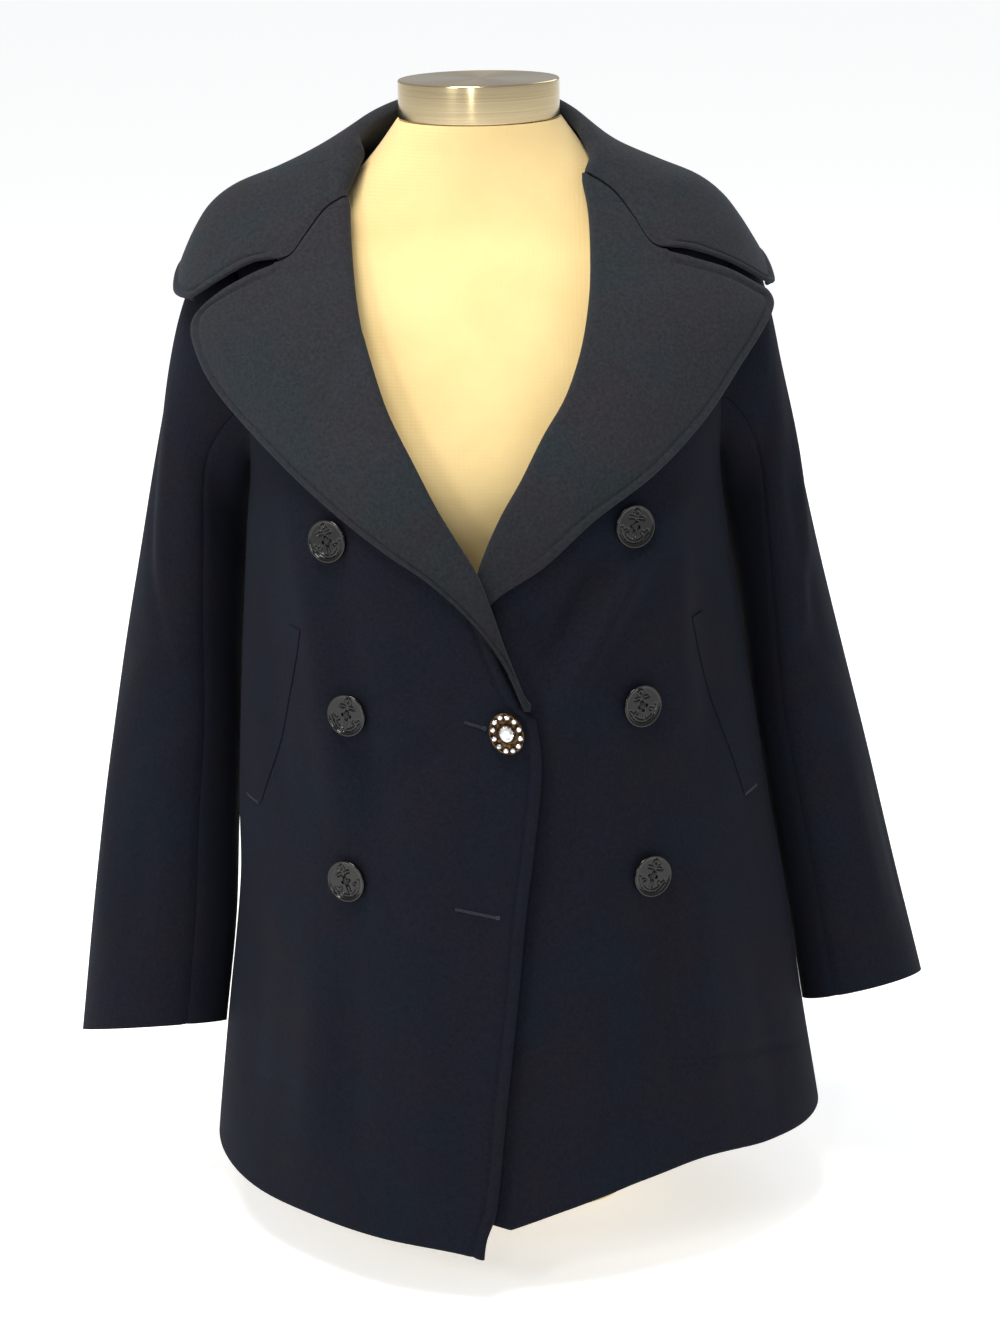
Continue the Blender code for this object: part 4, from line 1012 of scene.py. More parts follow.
def lapel_points(side):
    v, places = crowded(LAPEL_ROWS), crowded(LAPEL_COLUMNS)
    start, _ = lapel_face(side, np.zeros_like(v), v)
    points = rolled_points(
        lambda u, rows: lapel_face(side, u, rows), v, roll_radius(side, start[:, 2]), places)
    from_edge = run_lengths(points[:, ::-1], 1)[:, ::-1]
    from_top = run_lengths(points[::-1], 0)[::-1]
    across = np.concatenate((np.zeros(ROLL_COLUMNS), places))[None, :]
    open_top = opened(side, across)
    seam_depth = seam_dip(from_top) * (1 - open_top)
    belly = LAPEL_BELLY * np.sin(np.pi * across) * np.sin(np.pi * np.clip(v * BELLY_TOP, 0, 1))[:, None]
    nearest = smaller_of(from_edge, from_top + (1 - open_top) * CLOSED_EDGE, CORNER_BLEND)
    near_gorge = bell(from_top, GORGE_TUCK_REACH) * (1 - across) ** 6
    points[..., 0] += SIGN[side] * GORGE_TUCK[side] * near_gorge
    from_foot = run_lengths(points, 0)
    nearest = smaller_of(nearest, from_foot, FOOT_BLEND)
    push = turned_edge(np.maximum(nearest, 0)) - seam_depth + belly
    if side == "left":
        push = np.where(push > 0, push * eased(*LEFT_SWELL, points[..., 2]), push)
    else:
        points, push = points[:, ::-1], push[:, ::-1]
    return points + grid_normals(points) * push[..., None]


# Painted light: the lapels' and collar's melton is the body's cloth painted lighter, for the overhead
# light on their upward-facing faces, with painted shade towards the break.
painted_light_lapel_melton = melton(
    "navy_wool_melton_lapels_painted_light", "#26282D", "#28272B", "#23292D", 0.10, "#A7B0BC", 0.5)

for side in ("right", "left"):
    lapel = cloth_piece(f"coat_lapel_{side}", lapel_points(side), painted_light_lapel_melton)
    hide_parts(f"lapel_{side}")


# ---- Collar --------------------------------------------------------------------------
# One wide collar: a stand sewn to the neck edge, a soft roll, and a fall that lies over
# the shoulders and the sleeve heads down to rounded ends above the lapels' notches.

COLLAR_STATIONS, STAND_COLUMNS, FALL_COLUMNS = 232, 8, 66
GORGE_REACH = 0.16              # the share of the collar that bends to its gorge
STATION_CROWDING = 0.62         # how much closer the stations stand towards the gorges
NECK_CLEAR = 0.0030             # the stand's foot above the neck edge of the panels
NECK_ROLL = (0.0085, 0.0)       # the roll is fatter by this much beside the neck, right and left
NECK_ROLL_STARTS = (0.01, 0.09)   # shares of the collar from its nearer end
NECK_ROLL_ENDS = (0.13, 0.20)
COLLAR = Table(
    ("share", "roll_angle", "roll_height", "edge_angle", "edge_height", "seam_angle", "radius"),
    (0.00, -64, 0.7510, -78, 0.6810, -77, 0.0070),
    (0.07, -71, 0.7680, -84, 0.6815, -81, 0.0068),
    (0.14, -77, 0.7805, -89, 0.6890, -86, 0.0064),
    (0.21, -85, 0.7920, -95, 0.6945, -94, 0.0060),
    (0.30, -110, 0.8020, -112, 0.6930, -115, 0.0055),
    (0.40, -147, 0.8090, -140, 0.6830, -147, 0.0052),
    (0.50, -180, 0.8110, -180, 0.6780, -180, 0.0052),
    (0.60, -206, 0.8080, -220, 0.6830, -214, 0.0052),
    (0.70, -243, 0.8010, -248, 0.6930, -246, 0.0055),
    (0.79, -277, 0.7920, -265, 0.6945, -268, 0.0060),
    (0.86, -288, 0.7815, -271, 0.6890, -281, 0.0064),
    (0.93, -296, 0.7720, -277, 0.6815, -290, 0.0068),
    (1.00, -303, 0.7625, -282, 0.6815, -297, 0.0070),
)


def collar_place(share, u):
    """The collar's face, as an angle and a height: u 0 at its roll, 1 at its outer edge."""
    def straight(at):
        roll_angle, edge_angle = COLLAR.read("roll_angle", at), COLLAR.read("edge_angle", at)
        roll_height, edge_height = COLLAR.read("roll_height", at), COLLAR.read("edge_height", at)
        return (np.radians(roll_angle + (edge_angle - roll_angle) * u),
                roll_height + (edge_height - roll_height) * u)

    angle, height = straight(share)
    for side, end, turn in (("right", 0, 0), ("left", 1, -2 * math.pi)):
        near = np.maximum(1 - np.abs(share - end) / GORGE_REACH, 0) ** 2
        gorge_height = GORGE[side].read("height", u)
        gorge_across = GORGE[side].read("across", u)
        gorge_angle = angle_across(OVER, gorge_across, gorge_height) + turn
        end_angle, end_height = straight(np.full_like(share, end))
        angle = angle + (gorge_angle - end_angle) * near
        height = height + (gorge_height - end_height) * near
    return angle, height


def collar_face(u, share):
    angle, height = collar_place(share, u)
    return on_ring(OVER, angle, height), ring_normal(OVER, angle, height, COLLAR_STEP)


def collar_points():
    even = np.linspace(0, 1, COLLAR_STATIONS + 1)
    share = even - STATION_CROWDING * np.sin(2 * math.pi * even) / (2 * math.pi)
    places = crowded(FALL_COLUMNS)
    from_end = np.minimum(share, 1 - share)
    fat = np.where(share < 0.5, *NECK_ROLL)
    fat = fat * eased(*NECK_ROLL_STARTS, from_end) * (1 - eased(*NECK_ROLL_ENDS, from_end))
    fall = rolled_points(collar_face, share, COLLAR.read("radius", share), places, fat)
    angle = np.radians(COLLAR.read("seam_angle", share))
    round_angle = np.abs(np.remainder(angle + math.pi, 2 * math.pi) - math.pi)
    neck = SHOULDER_TOP + (BACK_NECK - SHOULDER_TOP) * eased(SIDE, math.pi, round_angle)
    foot = on_ring(BODY, angle, neck) - ring_normal(BODY, angle, neck) * CLOTH
    foot[:, 2] += NECK_CLEAR
    climb = (np.arange(STAND_COLUMNS) / STAND_COLUMNS)[None, :, None]
    stand = foot[:, None] * (1 - climb) + fall[:, :1] * climb
    points = np.concatenate((stand, fall), axis=1)[:, ::-1]
    from_edge = run_lengths(points, 1)
    to_first, to_last = run_lengths(points, 0), run_lengths(points[::-1], 0)[::-1]
    across = np.concatenate((np.zeros(STAND_COLUMNS + ROLL_COLUMNS), places))[::-1][None, :]
    push = np.zeros(points.shape[:2])
    nearest = from_edge
    for to_end, side in ((to_first, "right"), (to_last, "left")):
        open_end = opened(side, across)
        push = push - seam_dip(to_end) * (1 - open_end)
        nearest = smaller_of(nearest, to_end + (1 - open_end) * CLOSED_EDGE, CORNER_BLEND)
    push = push + turned_edge(np.maximum(nearest, 0))
    return points + grid_normals(points) * push[..., None]


# The collar takes the lapels' melton, painted lighter for the overhead light that it catches.
collar = cloth_piece("coat_collar", collar_points(), painted_light_lapel_melton)
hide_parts("collar")


# ---- Pocket welts --------------------------------------------------------------------
# A slanted pocket on each front, closed by a narrow welt of the same melton that lies
# flat on the panel, its lower end fixed by a bar tack.

POCKET_TOP = (0.1355, 0.4674)
POCKET_FOOT = (0.1745, 0.3300)
WELT_WIDTH = 0.012
WELT_THICK = 0.0005
WELT_ROWS, WELT_COLUMNS = 90, 14


def on_front(side, across, height, lift):
    """Points on a front's face, with its folds, and the normals there."""
    angle = angle_across(BODY, across, height)
    normal = ring_normal(BODY, angle, height)
    push = front_push(side, across, height) + lift
    return on_ring(BODY, angle, height) + normal * push[..., None], normal


def welt_points(side):
    shift, along = np.meshgrid(
        np.linspace(-0.5, 0.5, WELT_COLUMNS + 1) * WELT_WIDTH, np.linspace(0, 1, WELT_ROWS + 1))
    across = SIGN[side] * (POCKET_FOOT[0] + (POCKET_TOP[0] - POCKET_FOOT[0]) * along) + shift
    height = POCKET_FOOT[1] + (POCKET_TOP[1] - POCKET_FOOT[1]) * along
    return on_front(side, across, height, np.full_like(across, 2 * HALF_GAP + WELT_THICK))[0]


for side in ("right", "left"):
    welt = cloth_piece(
        f"coat_pocket_welt_{side}", welt_points(side), navy_melton,
        thickness=WELT_THICK, rounding=0.00022)
    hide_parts(f"pocket_welt_{side}")


# ---- Buttons -------------------------------------------------------------------------
# Six large moulded resin buttons, 29 mm across, black and glossy: a low rim round a
# flat face, a plain anchor outlined by a cut groove, four holes set as a diamond, and
# black thread. Each was sewn on at a turn of its own.

BUTTON_RADIUS = 0.0145
BUTTON_THICK = 0.0042
BUTTON_DISH = 0.0007            # its face lies this far below its rim
BUTTON_BACK = 0.0123
BUTTON_STANDOFF = 0.0012
BUTTON_BEAD = 0.0008            # the rim's bead, its radius
BUTTON_SIDES, FACE_RINGS = 128, 46
HOLE_AWAY = 0.0026
HOLE_RADIUS = 0.00105
HOLE_DEPTH = 0.0017
ANCHOR_SCALE = 1.18
ANCHOR_LINE = 0.00110           # half the width of the anchor's strokes
ANCHOR_GROOVE = 0.00042         # half the width of the groove cut round them
ANCHOR_DEPTH = 0.00065
BUTTON_TURNS = {
    "right_top": 18, "right_middle": -8, "right_lower": 24,
    "left_top": -14, "left_middle": 6, "left_lower": -20,
}
# The anchor's straight lines, in millimetres on a button's face.
ANCHOR_STROKES = Table(
    ("from_x", "from_y", "to_x", "to_y"),
    (0.0, 6.4, 0.0, -8.8),
    (-4.2, 5.2, 4.2, 5.2),
    (-6.9, -3.6, -8.3, -1.6),
    (-6.9, -3.6, -4.9, -2.6),
    (6.9, -3.6, 8.3, -1.6),
    (6.9, -3.6, 4.9, -2.6),
)
ANCHOR_RING = (0.0, 7.9, 1.5)   # middle and radius of the ring at its head
ANCHOR_ARMS = (0.0, -1.2, 7.4)  # middle and radius of the arc of its arms
ARMS_REACH = math.radians(70)   # the arms' arc each side of straight down
FAR = 99.0                      # in millimetres, off the button


def from_anchor(x, y):
    """The distance in millimetres to the nearest line of the anchor."""
    nearest = np.full(np.shape(x), FAR)
    for from_x, from_y, to_x, to_y in ANCHOR_STROKES.rows:
        run_x, run_y = to_x - from_x, to_y - from_y
        along = ((x - from_x) * run_x + (y - from_y) * run_y) / (run_x ** 2 + run_y ** 2)
        along = np.clip(along, 0, 1)
        nearest = np.minimum(nearest, np.hypot(x - from_x - run_x * along, y - from_y - run_y * along))
    ring = np.abs(np.hypot(x - ANCHOR_RING[0], y - ANCHOR_RING[1]) - ANCHOR_RING[2])
    arms = np.abs(np.hypot(x - ANCHOR_ARMS[0], y - ANCHOR_ARMS[1]) - ANCHOR_ARMS[2])
    lean = np.abs(np.arctan2(x - ANCHOR_ARMS[0], -(y - ANCHOR_ARMS[1])))
    arms = np.where(lean < ARMS_REACH, arms, FAR)
    return np.minimum(nearest, np.minimum(ring, arms))


def set_on(shape, place, normal, tilt=0.0):
    """Moves a shape made at the origin, facing +Z, to a place on the coat, facing normal."""
    across = Vector((0, 0, 1)).cross(normal).normalized()
    facing = Matrix((across, normal.cross(across), normal)).transposed().to_4x4()
    turn = Matrix.Rotation(tilt, 4, "Z")
    bmesh.ops.transform(
        shape, matrix=Matrix.Translation(place) @ facing @ turn, verts=shape.verts)


def finished(name, shape, look, smooth_angle=35):
    """Makes a piece of a shape that is in place, shaded smooth but for its sharp edges."""
    shape.normal_update()
    piece = piece_of(name, mesh_of(name, shape), look)
    piece.data.set_sharp_from_angle(angle=math.radians(smooth_angle))
    return piece


def arc(radius, height, bend, angles):
    """Points of a profile round a middle at (radius, height), by angles in degrees."""
    return [(radius + bend * math.cos(math.radians(angle)),
             height + bend * math.sin(math.radians(angle))) for angle in angles]


def spun(profile, sides):
    """A solid turned from (radius, height) pairs that start and end on its axis."""
    shape = bmesh.new()
    line = [shape.verts.new((radius, 0, height)) for radius, height in profile]
    edges = [shape.edges.new(pair) for pair in zip(line, line[1:])]
    bmesh.ops.spin(
        shape, geom=line + edges, cent=(0, 0, 0), axis=(0, 0, 1), angle=2 * math.pi,
        steps=sides, use_merge=True)
    bmesh.ops.remove_doubles(shape, verts=shape.verts, dist=1e-6)
    bmesh.ops.recalc_face_normals(shape, faces=shape.faces)
    return shape


def button_seat(spot, side):
    """Where the back of a button at a spot lies, and the way that it faces."""
    across, height = np.array(spot)
    place, normal = on_front(side, across, height, np.array(BUTTON_STANDOFF))
    return Vector(place), Vector(normal)


def button_shape():
    """A button facing +Z, its back at the origin."""
    bead_middle = (BUTTON_RADIUS - BUTTON_BEAD, BUTTON_THICK - BUTTON_BEAD)
    profile = [(0, 0), (BUTTON_BACK * 0.5, 0), (BUTTON_BACK, 0),
               (BUTTON_RADIUS - 0.0006, BUTTON_THICK * 0.22), (BUTTON_RADIUS, BUTTON_THICK * 0.45)]
    profile += arc(*bead_middle, BUTTON_BEAD, range(0, 137, 15))
    face_edge, face_height = bead_middle[0] - BUTTON_BEAD * 1.8, BUTTON_THICK - BUTTON_DISH
    profile += [(face_edge * (1 - ring / FACE_RINGS), face_height) for ring in range(FACE_RINGS + 1)]
    shape = spun(profile, BUTTON_SIDES)
    face = [vert for vert in shape.verts
            if vert.co.z > face_height - 1e-6 and math.hypot(vert.co.x, vert.co.y) < face_edge + 1e-6]
    x, y = np.array([vert.co.xy for vert in face]).T
    away = from_anchor(x * 1000 / ANCHOR_SCALE, y * 1000 / ANCHOR_SCALE) * ANCHOR_SCALE / 1000
    relief = -ANCHOR_DEPTH * bell(away - ANCHOR_LINE, ANCHOR_GROOVE)
    for hole_x, hole_y in ((1, 0), (0, 1), (-1, 0), (0, -1)):
        away = np.hypot(x - hole_x * HOLE_AWAY, y - hole_y * HOLE_AWAY)
        relief = relief - (HOLE_DEPTH + relief) * eased(HOLE_RADIUS * 1.25, HOLE_RADIUS * 0.8, away)
    for vert, rise in zip(face, relief):
        vert.co.z += rise
    return shape


def button_resin():
    """Polyester resin: moulded and tumbled to a clear gloss, with faint swirls and scuffs."""
    look = Look("black_polyester_resin")
    scuffs = look.noise(0.0016, 5.0, 0.7)
    return look.surface({
        "Roughness": look.spread(scuffs, (0.35, 0.75), (0.07, 0.16)),
        "Base Color": look.ramp(scuffs, (0, "#050506"), (1, "#0C0C0E")),
        "IOR": 1.50, "Specular IOR Level": 0.42})


def sewing_thread(name, shade, light_shade):
    """Polyester thread: two twisted plies that show as fine slanted lines."""
    look = Look(name)
    plies = look.node("ShaderNodeTexWave", {
        "Vector": look.place, "Scale": 1 / 0.0030, "Distortion": 1.5}, bands_direction="DIAGONAL")
    return look.surface({
        "Base Color": look.ramp(plies.outputs["Fac"], (0, shade), (1, light_shade)),
        "Roughness": 0.6})


def threads(name, paths, radius, look):
    """Strands of thread along paths, as one piece."""
    curve = bpy.data.curves.new(name, "CURVE")
    curve.dimensions = "3D"
    curve.bevel_depth = radius
    curve.bevel_resolution = 1
    curve.use_fill_caps = True
    for path in paths:
        spline = curve.splines.new("POLY")
        spline.points.add(len(path) - 1)
        for knot, point in zip(spline.points, path):
            knot.co = (*point, 1)
    drawn = bpy.data.objects.new(name + "_path", curve)
    mesh = bpy.data.meshes.new_from_object(drawn)
    bpy.data.objects.remove(drawn)
    mesh.name = name
    mesh.materials.clear()
    return piece_of(name, mesh, look)


resin = button_resin()
black_thread = sewing_thread("black_sewing_thread", "#08080A", "#1B1B20")
THREAD_RADIUS = 0.00028
THREAD_RISE = 0.0003            # a strand's middle stands this far off the button's face
THREAD_SINK = 0.0016            # and its ends lie this much lower, in the holes
STRAND_SPACING = 1.1            # in thread widths
for name, spot in BUTTON_PLACES.items():
    side = name.split("_")[0]
    place, normal = button_seat(spot, side)
    tilt = math.radians(BUTTON_TURNS[name])
    shape = button_shape()
    set_on(shape, place, normal, tilt)
    button = finished(f"coat_button_{name}", shape, resin)
    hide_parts(f"button_{name}")
    across = Vector((0, 0, 1)).cross(normal).normalized()
    rising = normal.cross(across)
    strands = []
    for pair in (((1, 0), (-1, 0)), ((0, 1), (0, -1))):
        for shift in (-STRAND_SPACING, 0, STRAND_SPACING):
            strand = []
            for share in np.linspace(0, 1, 9):
                x = (pair[0][0] + (pair[1][0] - pair[0][0]) * share) * HOLE_AWAY
                y = (pair[0][1] + (pair[1][1] - pair[0][1]) * share) * HOLE_AWAY
                x += pair[0][1] * shift * THREAD_RADIUS * 2
                y += pair[0][0] * shift * THREAD_RADIUS * 2
                x, y = x * math.cos(tilt) - y * math.sin(tilt), x * math.sin(tilt) + y * math.cos(tilt)
                over = BUTTON_THICK - BUTTON_DISH + THREAD_RISE - THREAD_SINK * (2 * share - 1) ** 6
                strand.append(place + across * x + rising * y + normal * over)
            strands.append(strand)
    threads(f"button_thread_{name}", strands, THREAD_RADIUS, black_thread)


# ---- Buttonholes and bar tacks -------------------------------------------------------
# Keyhole buttonholes in the right front, worked in blue-grey thread: a slit with an
# eyelet at the edge's end, closed all round by upright purl stitches. The bar tack at
# the pocket's lower end is a short row of the same stitches in navy.

BUTTONHOLES = {                 # from the plain end to the eyelet, across and up
    "lower": ((-0.0310, 0.2865), (-0.0045, 0.2805)),
    "upper": ((-0.0230, 0.4150), (-0.0105, 0.4112)),
}
PURL_STEP = 0.00075
PURL_RADIUS = 0.00030
PURL_REACH = 0.0006
PURL_LIFTS = (0.0001, 0.0005, 0.0001)   # a purl stitch over the cloth: start, middle, end
SLIT_HALF = 0.0003              # half the width between the two rows of stitches
EYELET_STITCHES = 12
TACK_REACH = 0.0012             # a bar tack's stitches reach this far up and down
TACK_LIFTS = (0.0002, 0.0010, 0.0009)
EYELET_RADIUS = 0.0013
BARTACK_LENGTH = 0.010


def buttonhole_paths(start, end):
    """The stitches of a keyhole buttonhole on the right front."""
    start, end = np.array(start), np.array(end)
    length = np.hypot(*(end - start))
    way = (end - start) / length
    beside = np.array((-way[1], way[0]))
    paths = []

    def stitch(middle, outward_way):
        ends = (middle - outward_way * 0.0002, middle + outward_way * PURL_REACH)
        spots = [ends[0] + (ends[1] - ends[0]) * share for share in (0, 0.5, 1)]
        paths.append([on_front("right", spot[0], spot[1], np.array(lift))[0]
                      for spot, lift in zip(spots, PURL_LIFTS)])

    count = int(length / PURL_STEP)
    for hand in (1, -1):
        for index in range(count):
            stitch(start + way * index * PURL_STEP + beside * hand * SLIT_HALF, beside * hand)
    for index in range(EYELET_STITCHES):
        angle = 2 * math.pi * index / EYELET_STITCHES
        spoke = way * math.cos(angle) + beside * math.sin(angle)
        stitch(end + spoke * EYELET_RADIUS * 0.6, spoke)
    return paths


buttonhole_thread = sewing_thread("blue_grey_buttonhole_twist", "#121820", "#232D39")
navy_thread = sewing_thread("navy_sewing_thread", "#12141C", "#20232D")
for name, (start, end) in BUTTONHOLES.items():
    twist = navy_thread if name == "upper" else buttonhole_thread
    threads(f"buttonhole_{name}", buttonhole_paths(start, end), PURL_RADIUS, twist)
for side in ("right", "left"):
    tack = []
    for index in range(int(BARTACK_LENGTH / PURL_STEP)):
        along = index * PURL_STEP - BARTACK_LENGTH / 2
        spots = [(SIGN[side] * POCKET_FOOT[0] + along, POCKET_FOOT[1] - 0.0005 + rise)
                 for rise in (-TACK_REACH, 0, TACK_REACH)]
        tack.append([on_front(side, np.array(spot[0]), np.array(spot[1]), np.array(lift))[0]
                     for spot, lift in zip(spots, TACK_LIFTS)])
    threads(f"pocket_bartack_{side}", tack, PURL_RADIUS, navy_thread)


# ---- Jewelled button -----------------------------------------------------------------
# The one fastened button: an oval cast setting, gilt and darkened with age, with twelve
# small round stones round a large oval one, all foil-backed cut glass.

JEWEL_HALF_WIDTH = 0.0112
JEWEL_HALF_HEIGHT = 0.0145
JEWEL_THICK = 0.0034
JEWEL_TILT = math.radians(20)
JEWEL_STONES = 12
STONE_INSET = 0.0025
STONE_RADIUS = 0.0018
CENTRE_STONE_RADIUS = 0.0048
CENTRE_STONE_STRETCH = 1.22
JEWEL_RIM = 0.0007


def antique_gilt():
    """Gilt brass gone dark with age, bright on its high edges and brown-black between; drawn here as
    noise patches of bright and brown-black.
    """
    look = Look("antique_gilt_brass")
    tarnish = look.noise(0.0022, 4.0)
    return look.surface({
        "Base Color": look.ramp(tarnish, (0.38, "#1E160D"), (0.66, "#6E5230")),
        "Roughness": look.spread(tarnish, (0, 1), (0.55, 0.25)),
        "Metallic": 0.9})


def foiled_glass():
    """Cut lead glass on a silver foil: every facet throws back a bright or a dark flash, and the foil's
    colour is laid out in small grey and white cells as a painted reflection of it.
    """
    look = Look("foil_backed_cut_glass")
    # Painted reflection: small cells of grey and white in the foil's colour stand for the facets'
    # bright and dark flash.
    painted_flashes = look.node("ShaderNodeTexVoronoi", {"Vector": look.place, "Scale": 1 / 0.0016})
    return look.surface({
        "Base Color": look.ramp(painted_flashes.outputs["Color"], (0.1, "#8E979E"), (0.55, "#FFFFFF")),
        "Metallic": 0.75, "Roughness": 0.06,
        "Coat Weight": 1.0, "Coat IOR": 1.6, "Coat Roughness": 0.02})


def cut_stone(radius, height, sides):
    """A cut stone facing +Z: a girdle, two tiers of facets and a flat table."""
    shape = bmesh.new()
    tiers = ((0.92, 0.0, 0), (1.0, 0.22, 0), (0.84, 0.62, 0.5), (0.52, 1.0, 0))
    bmesh.ops.create_circle(shape, cap_ends=True, radius=radius * tiers[0][0], segments=sides)
    face = shape.faces[:][0]
    for (before, low, turn_before), (after, high, turn) in zip(tiers, tiers[1:]):
        made = bmesh.ops.extrude_face_region(shape, geom=[face])
        top = [item for item in made["geom"] if isinstance(item, bmesh.types.BMVert)]
        face = [item for item in made["geom"] if isinstance(item, bmesh.types.BMFace)][0]
        spin = Matrix.Rotation((turn - turn_before) * 2 * math.pi / sides, 4, "Z")
        grow = Matrix.Diagonal((after / before, after / before, 1, 1))
        rise = Matrix.Translation((0, 0, (high - low) * height))
        bmesh.ops.transform(shape, matrix=rise @ grow @ spin, verts=top)
    bmesh.ops.triangulate(shape, faces=[f for f in shape.faces if len(f.verts) == 4])
    bmesh.ops.recalc_face_normals(shape, faces=shape.faces)
    return shape


gilt = antique_gilt()
glass = foiled_glass()
jewel_place, jewel_normal = button_seat(JEWEL_PLACE, "right")
setting_profile = [(0, 0), (JEWEL_HALF_WIDTH - 0.0010, 0), (JEWEL_HALF_WIDTH, 0.0010)]
setting_profile += arc(
    JEWEL_HALF_WIDTH - JEWEL_RIM, JEWEL_THICK - JEWEL_RIM, JEWEL_RIM, range(0, 181, 20))
setting_profile += [(JEWEL_HALF_WIDTH - 2.2 * JEWEL_RIM, JEWEL_THICK - 2 * JEWEL_RIM),
                    (CENTRE_STONE_RADIUS * 1.25, JEWEL_THICK - 1.6 * JEWEL_RIM),
                    (CENTRE_STONE_RADIUS * 1.16, JEWEL_THICK + 0.0004),
                    (CENTRE_STONE_RADIUS * 1.04, JEWEL_THICK + 0.0004),
                    (CENTRE_STONE_RADIUS * 0.98, JEWEL_THICK - 0.0004), (0, JEWEL_THICK - 0.0004)]
setting = spun(setting_profile, 96)
for vert in setting.verts:
    vert.co.y *= np.interp(
        math.hypot(vert.co.x, vert.co.y), (CENTRE_STONE_RADIUS * 1.25, JEWEL_HALF_WIDTH),
        (CENTRE_STONE_STRETCH, JEWEL_HALF_HEIGHT / JEWEL_HALF_WIDTH))
ring_width, ring_height = JEWEL_HALF_WIDTH - STONE_INSET, JEWEL_HALF_HEIGHT - STONE_INSET
stone_spots = [
    Vector((ring_width * math.cos(2 * math.pi * stone / JEWEL_STONES),
            ring_height * math.sin(2 * math.pi * stone / JEWEL_STONES), 0))
    for stone in range(JEWEL_STONES)]
cup_profile = [(0, JEWEL_THICK - 0.0016), (STONE_RADIUS * 1.12, JEWEL_THICK - 0.0016),
               (STONE_RADIUS * 1.22, JEWEL_THICK - 0.0004), (STONE_RADIUS * 1.12, JEWEL_THICK + 0.0003),
               (STONE_RADIUS * 0.96, JEWEL_THICK + 0.0001), (0, JEWEL_THICK)]
for spot in stone_spots:
    cup = spun(cup_profile, 20)
    bmesh.ops.translate(cup, vec=spot, verts=cup.verts)
    cup_mesh = mesh_of("stone_cup", cup)
    setting.from_mesh(cup_mesh)
    bpy.data.meshes.remove(cup_mesh)
set_on(setting, jewel_place, jewel_normal, JEWEL_TILT)
jewel = finished("jewel_button_setting", setting, gilt)
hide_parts("jewel_setting")
for number, spot in enumerate(stone_spots, start=1):
    stone = cut_stone(STONE_RADIUS, 0.0013, 8)
    bmesh.ops.translate(stone, vec=spot + Vector((0, 0, JEWEL_THICK + 0.0001)), verts=stone.verts)
    set_on(stone, jewel_place, jewel_normal, JEWEL_TILT)
    set_stone = finished(f"jewel_button_stone_{number:02d}", stone, glass, 5)
    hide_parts(f"jewel_stone_{number:02d}")
centre = cut_stone(CENTRE_STONE_RADIUS, 0.0030, 12)
bmesh.ops.scale(centre, vec=(1, CENTRE_STONE_STRETCH, 1), verts=centre.verts)
bmesh.ops.translate(centre, vec=(0, 0, JEWEL_THICK), verts=centre.verts)
set_on(centre, jewel_place, jewel_normal, JEWEL_TILT)
centre_stone = finished("jewel_button_centre_stone", centre, glass, 5)
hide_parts("jewel_centre_stone")


# ---- Dress form ----------------------------------------------------------------------
# A limbless half-body form: a moulded foam body under a tight cover of cream cotton
# jersey, flat at its base and closed by the neck cap.

CAP_FOOT = 0.7943
FORM_MIDDLE = -0.0070           # the form's neck stands a little to the right
FORM_LEAN = (0.2, 0.6)          # the heights where it leans to there
FORM_SIDES, FORM_LEVELS = 132, 170
NECK_CROWDING = 1.15            # its levels stand closer towards the neck
WAVE_TURN = 6.2832              # a wave pattern's scale counts radians
FORM = Table(
    RING_COLUMNS,
    (0.000, 0.084, 0.084, 0.045, 0.098, 2.0, 2.0),
    (0.020, 0.093, 0.093, 0.051, 0.104, 2.0, 2.0),
    (0.080, 0.121, 0.121, 0.077, 0.117, 2.0, 2.0),
    (0.160, 0.148, 0.148, 0.103, 0.125, 2.1, 2.1),
    (0.240, 0.153, 0.153, 0.110, 0.125, 2.1, 2.1),
    (0.330, 0.141, 0.141, 0.108, 0.113, 2.1, 2.1),
    (0.410, 0.131, 0.131, 0.104, 0.104, 2.1, 2.1),
    (0.490, 0.138, 0.138, 0.113, 0.103, 2.2, 2.1),
    (0.560, 0.147, 0.147, 0.124, 0.106, 2.2, 2.2),
    (0.620, 0.152, 0.152, 0.111, 0.104, 2.2, 2.2),
    (0.670, 0.155, 0.155, 0.088, 0.094, 2.2, 2.2),
    (0.700, 0.149, 0.149, 0.070, 0.080, 2.1, 2.2),
    (0.720, 0.130, 0.130, 0.058, 0.068, 2.0, 2.1),
    (0.740, 0.103, 0.103, 0.052, 0.059, 2.0, 2.0),
    (0.757, 0.086, 0.086, 0.050, 0.056, 2.0, 2.0),
    (0.775, 0.070, 0.070, 0.051, 0.054, 2.0, 2.0),
    (0.794, 0.056, 0.056, 0.0545, 0.0545, 2.0, 2.0),
)


def cotton_jersey():
    """Single jersey in cream cotton: fine upright ribs of knit stitches, a dull face.

    Its wales are about 1 mm apart, drawn at 1.6 mm so that they show.
    """
    look = Look("cream_cotton_jersey")

    def ribs(spacing, direction, distortion):
        return look.node("ShaderNodeTexWave", {
            "Vector": look.place, "Scale": 1 / (spacing * WAVE_TURN),
            "Distortion": distortion, "Detail": 1.0},
            bands_direction=direction, wave_profile="SIN").outputs["Fac"]

    knit = look.total(ribs(0.0016, "X", 0.6), ribs(0.0012, "Z", 0.8))
    return look.surface({
        "Base Color": look.ramp(look.noise(0.05, 4.0), (0.35, "#DFC48A"), (0.68, "#E5CC93")),
        "Normal": look.bump(knit, 0.15, 0.0003),
        "Roughness": 0.85, "Specular IOR Level": 0.25,
        "Sheen Weight": 0.15, "Sheen Roughness": 0.5})


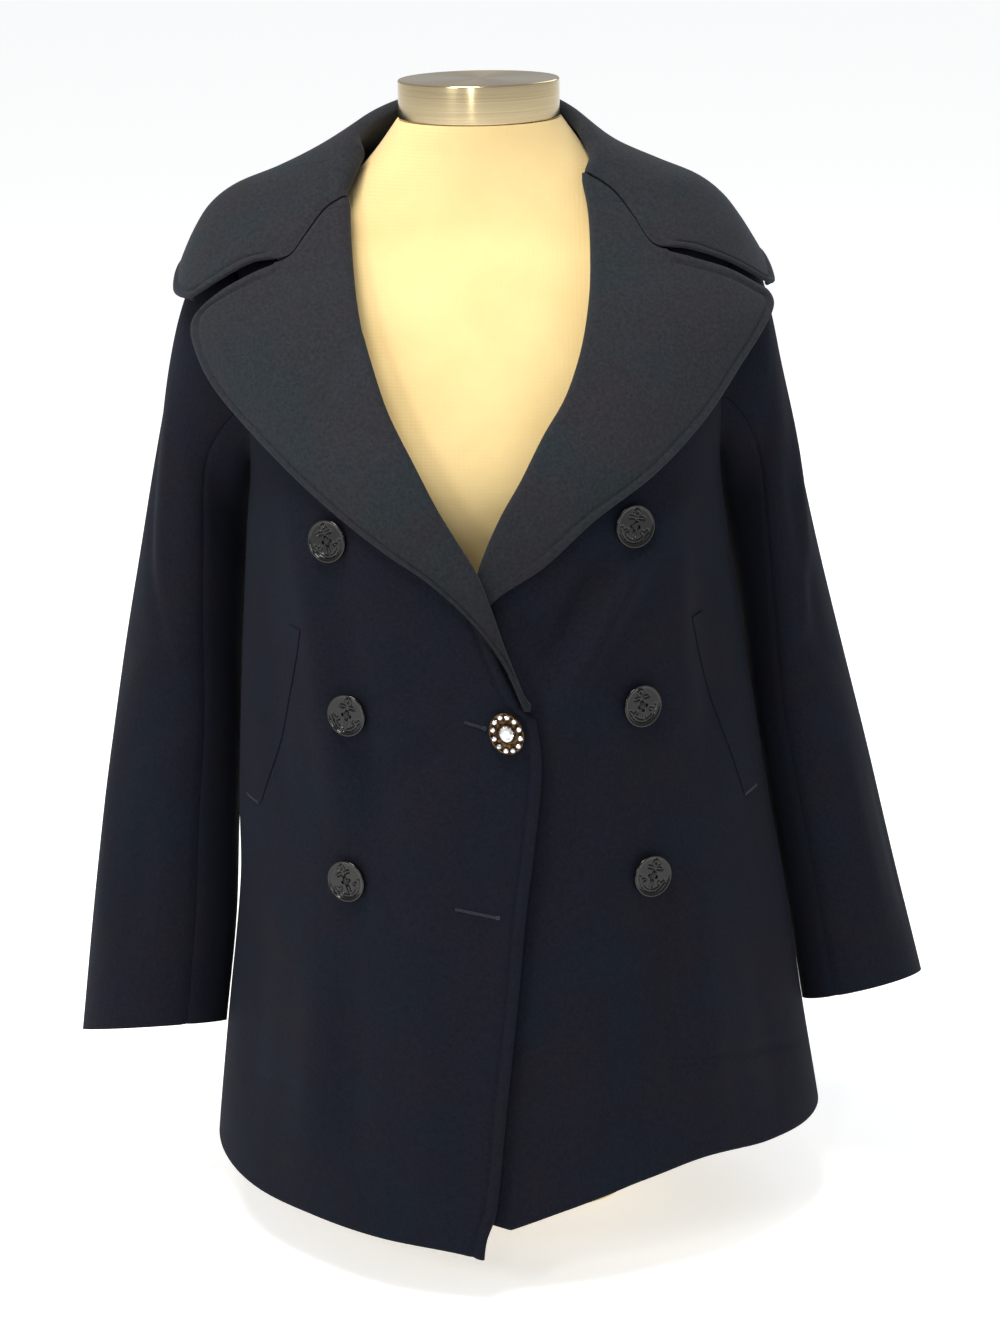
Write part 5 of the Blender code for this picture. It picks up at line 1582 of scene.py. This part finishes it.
around, rise = np.meshgrid(
    np.linspace(0, 2 * math.pi, FORM_SIDES + 1), np.linspace(0, 1, FORM_LEVELS + 1))
height = (CAP_FOOT - 2 * HALF_GAP) * (1 - (1 - rise) ** NECK_CROWDING)
form_points = on_ring(FORM, around, height)
form_points[..., 0] += FORM_MIDDLE * eased(*FORM_LEAN, height)
form_shape = grid_through(form_points)
bmesh.ops.remove_doubles(form_shape, verts=form_shape.verts, dist=1e-5)
bmesh.ops.holes_fill(form_shape, edges=[edge for edge in form_shape.edges if edge.is_boundary])
bmesh.ops.recalc_face_normals(form_shape, faces=form_shape.faces)
form = finished("form_body", form_shape, cotton_jersey(), 50)
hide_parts("dress_form")


# ---- Neck cap ------------------------------------------------------------------------
# A round cap of spun brass, lacquered in a pale champagne tone and brushed round its
# side, that closes the form's neck.

CAP_RADIUS = 0.0550
CAP_TOP = 0.8203
CAP_BEVEL = 0.0012


def brushed_brass():
    """Brushed brass: fine scratches run round the side, so highlights stretch upright."""
    look = Look("brushed_champagne_brass")
    stretched = look.node("ShaderNodeMapping", {"Vector": look.place, "Scale": (6, 6, 1 / 0.0004)})
    scratches = look.noise(1.0, 3.0, 0.6, stretched.outputs["Vector"])
    tangent = look.node("ShaderNodeTangent", {}, direction_type="RADIAL", axis="Z")
    return look.surface({
        "Base Color": look.ramp(scratches, (0.3, "#B8A47C"), (0.7, "#D6C5A0")),
        "Roughness": look.spread(scratches, (0.3, 0.7), (0.17, 0.27)),
        "Normal": look.bump(scratches, 0.06, 0.0001),
        "Tangent": tangent.outputs["Tangent"],
        "Metallic": 1.0, "Anisotropic": 0.7, "Anisotropic Rotation": 0.25})


cap_profile = [(0, CAP_FOOT), (CAP_RADIUS * 0.6, CAP_FOOT)]
for middle, start in ((CAP_FOOT + CAP_BEVEL, -90), (CAP_TOP - CAP_BEVEL, 0)):
    cap_profile += arc(CAP_RADIUS - CAP_BEVEL, middle, CAP_BEVEL, range(start, start + 91, 15))
cap_profile += [(CAP_RADIUS * 0.9, CAP_TOP), (CAP_RADIUS * 0.5, CAP_TOP), (0, CAP_TOP)]
cap_shape = spun(cap_profile, 128)
bmesh.ops.translate(cap_shape, vec=(FORM_MIDDLE, 0, 0), verts=cap_shape.verts)
cap = finished("form_neck_cap", cap_shape, brushed_brass(), 40)
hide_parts("neck_cap")
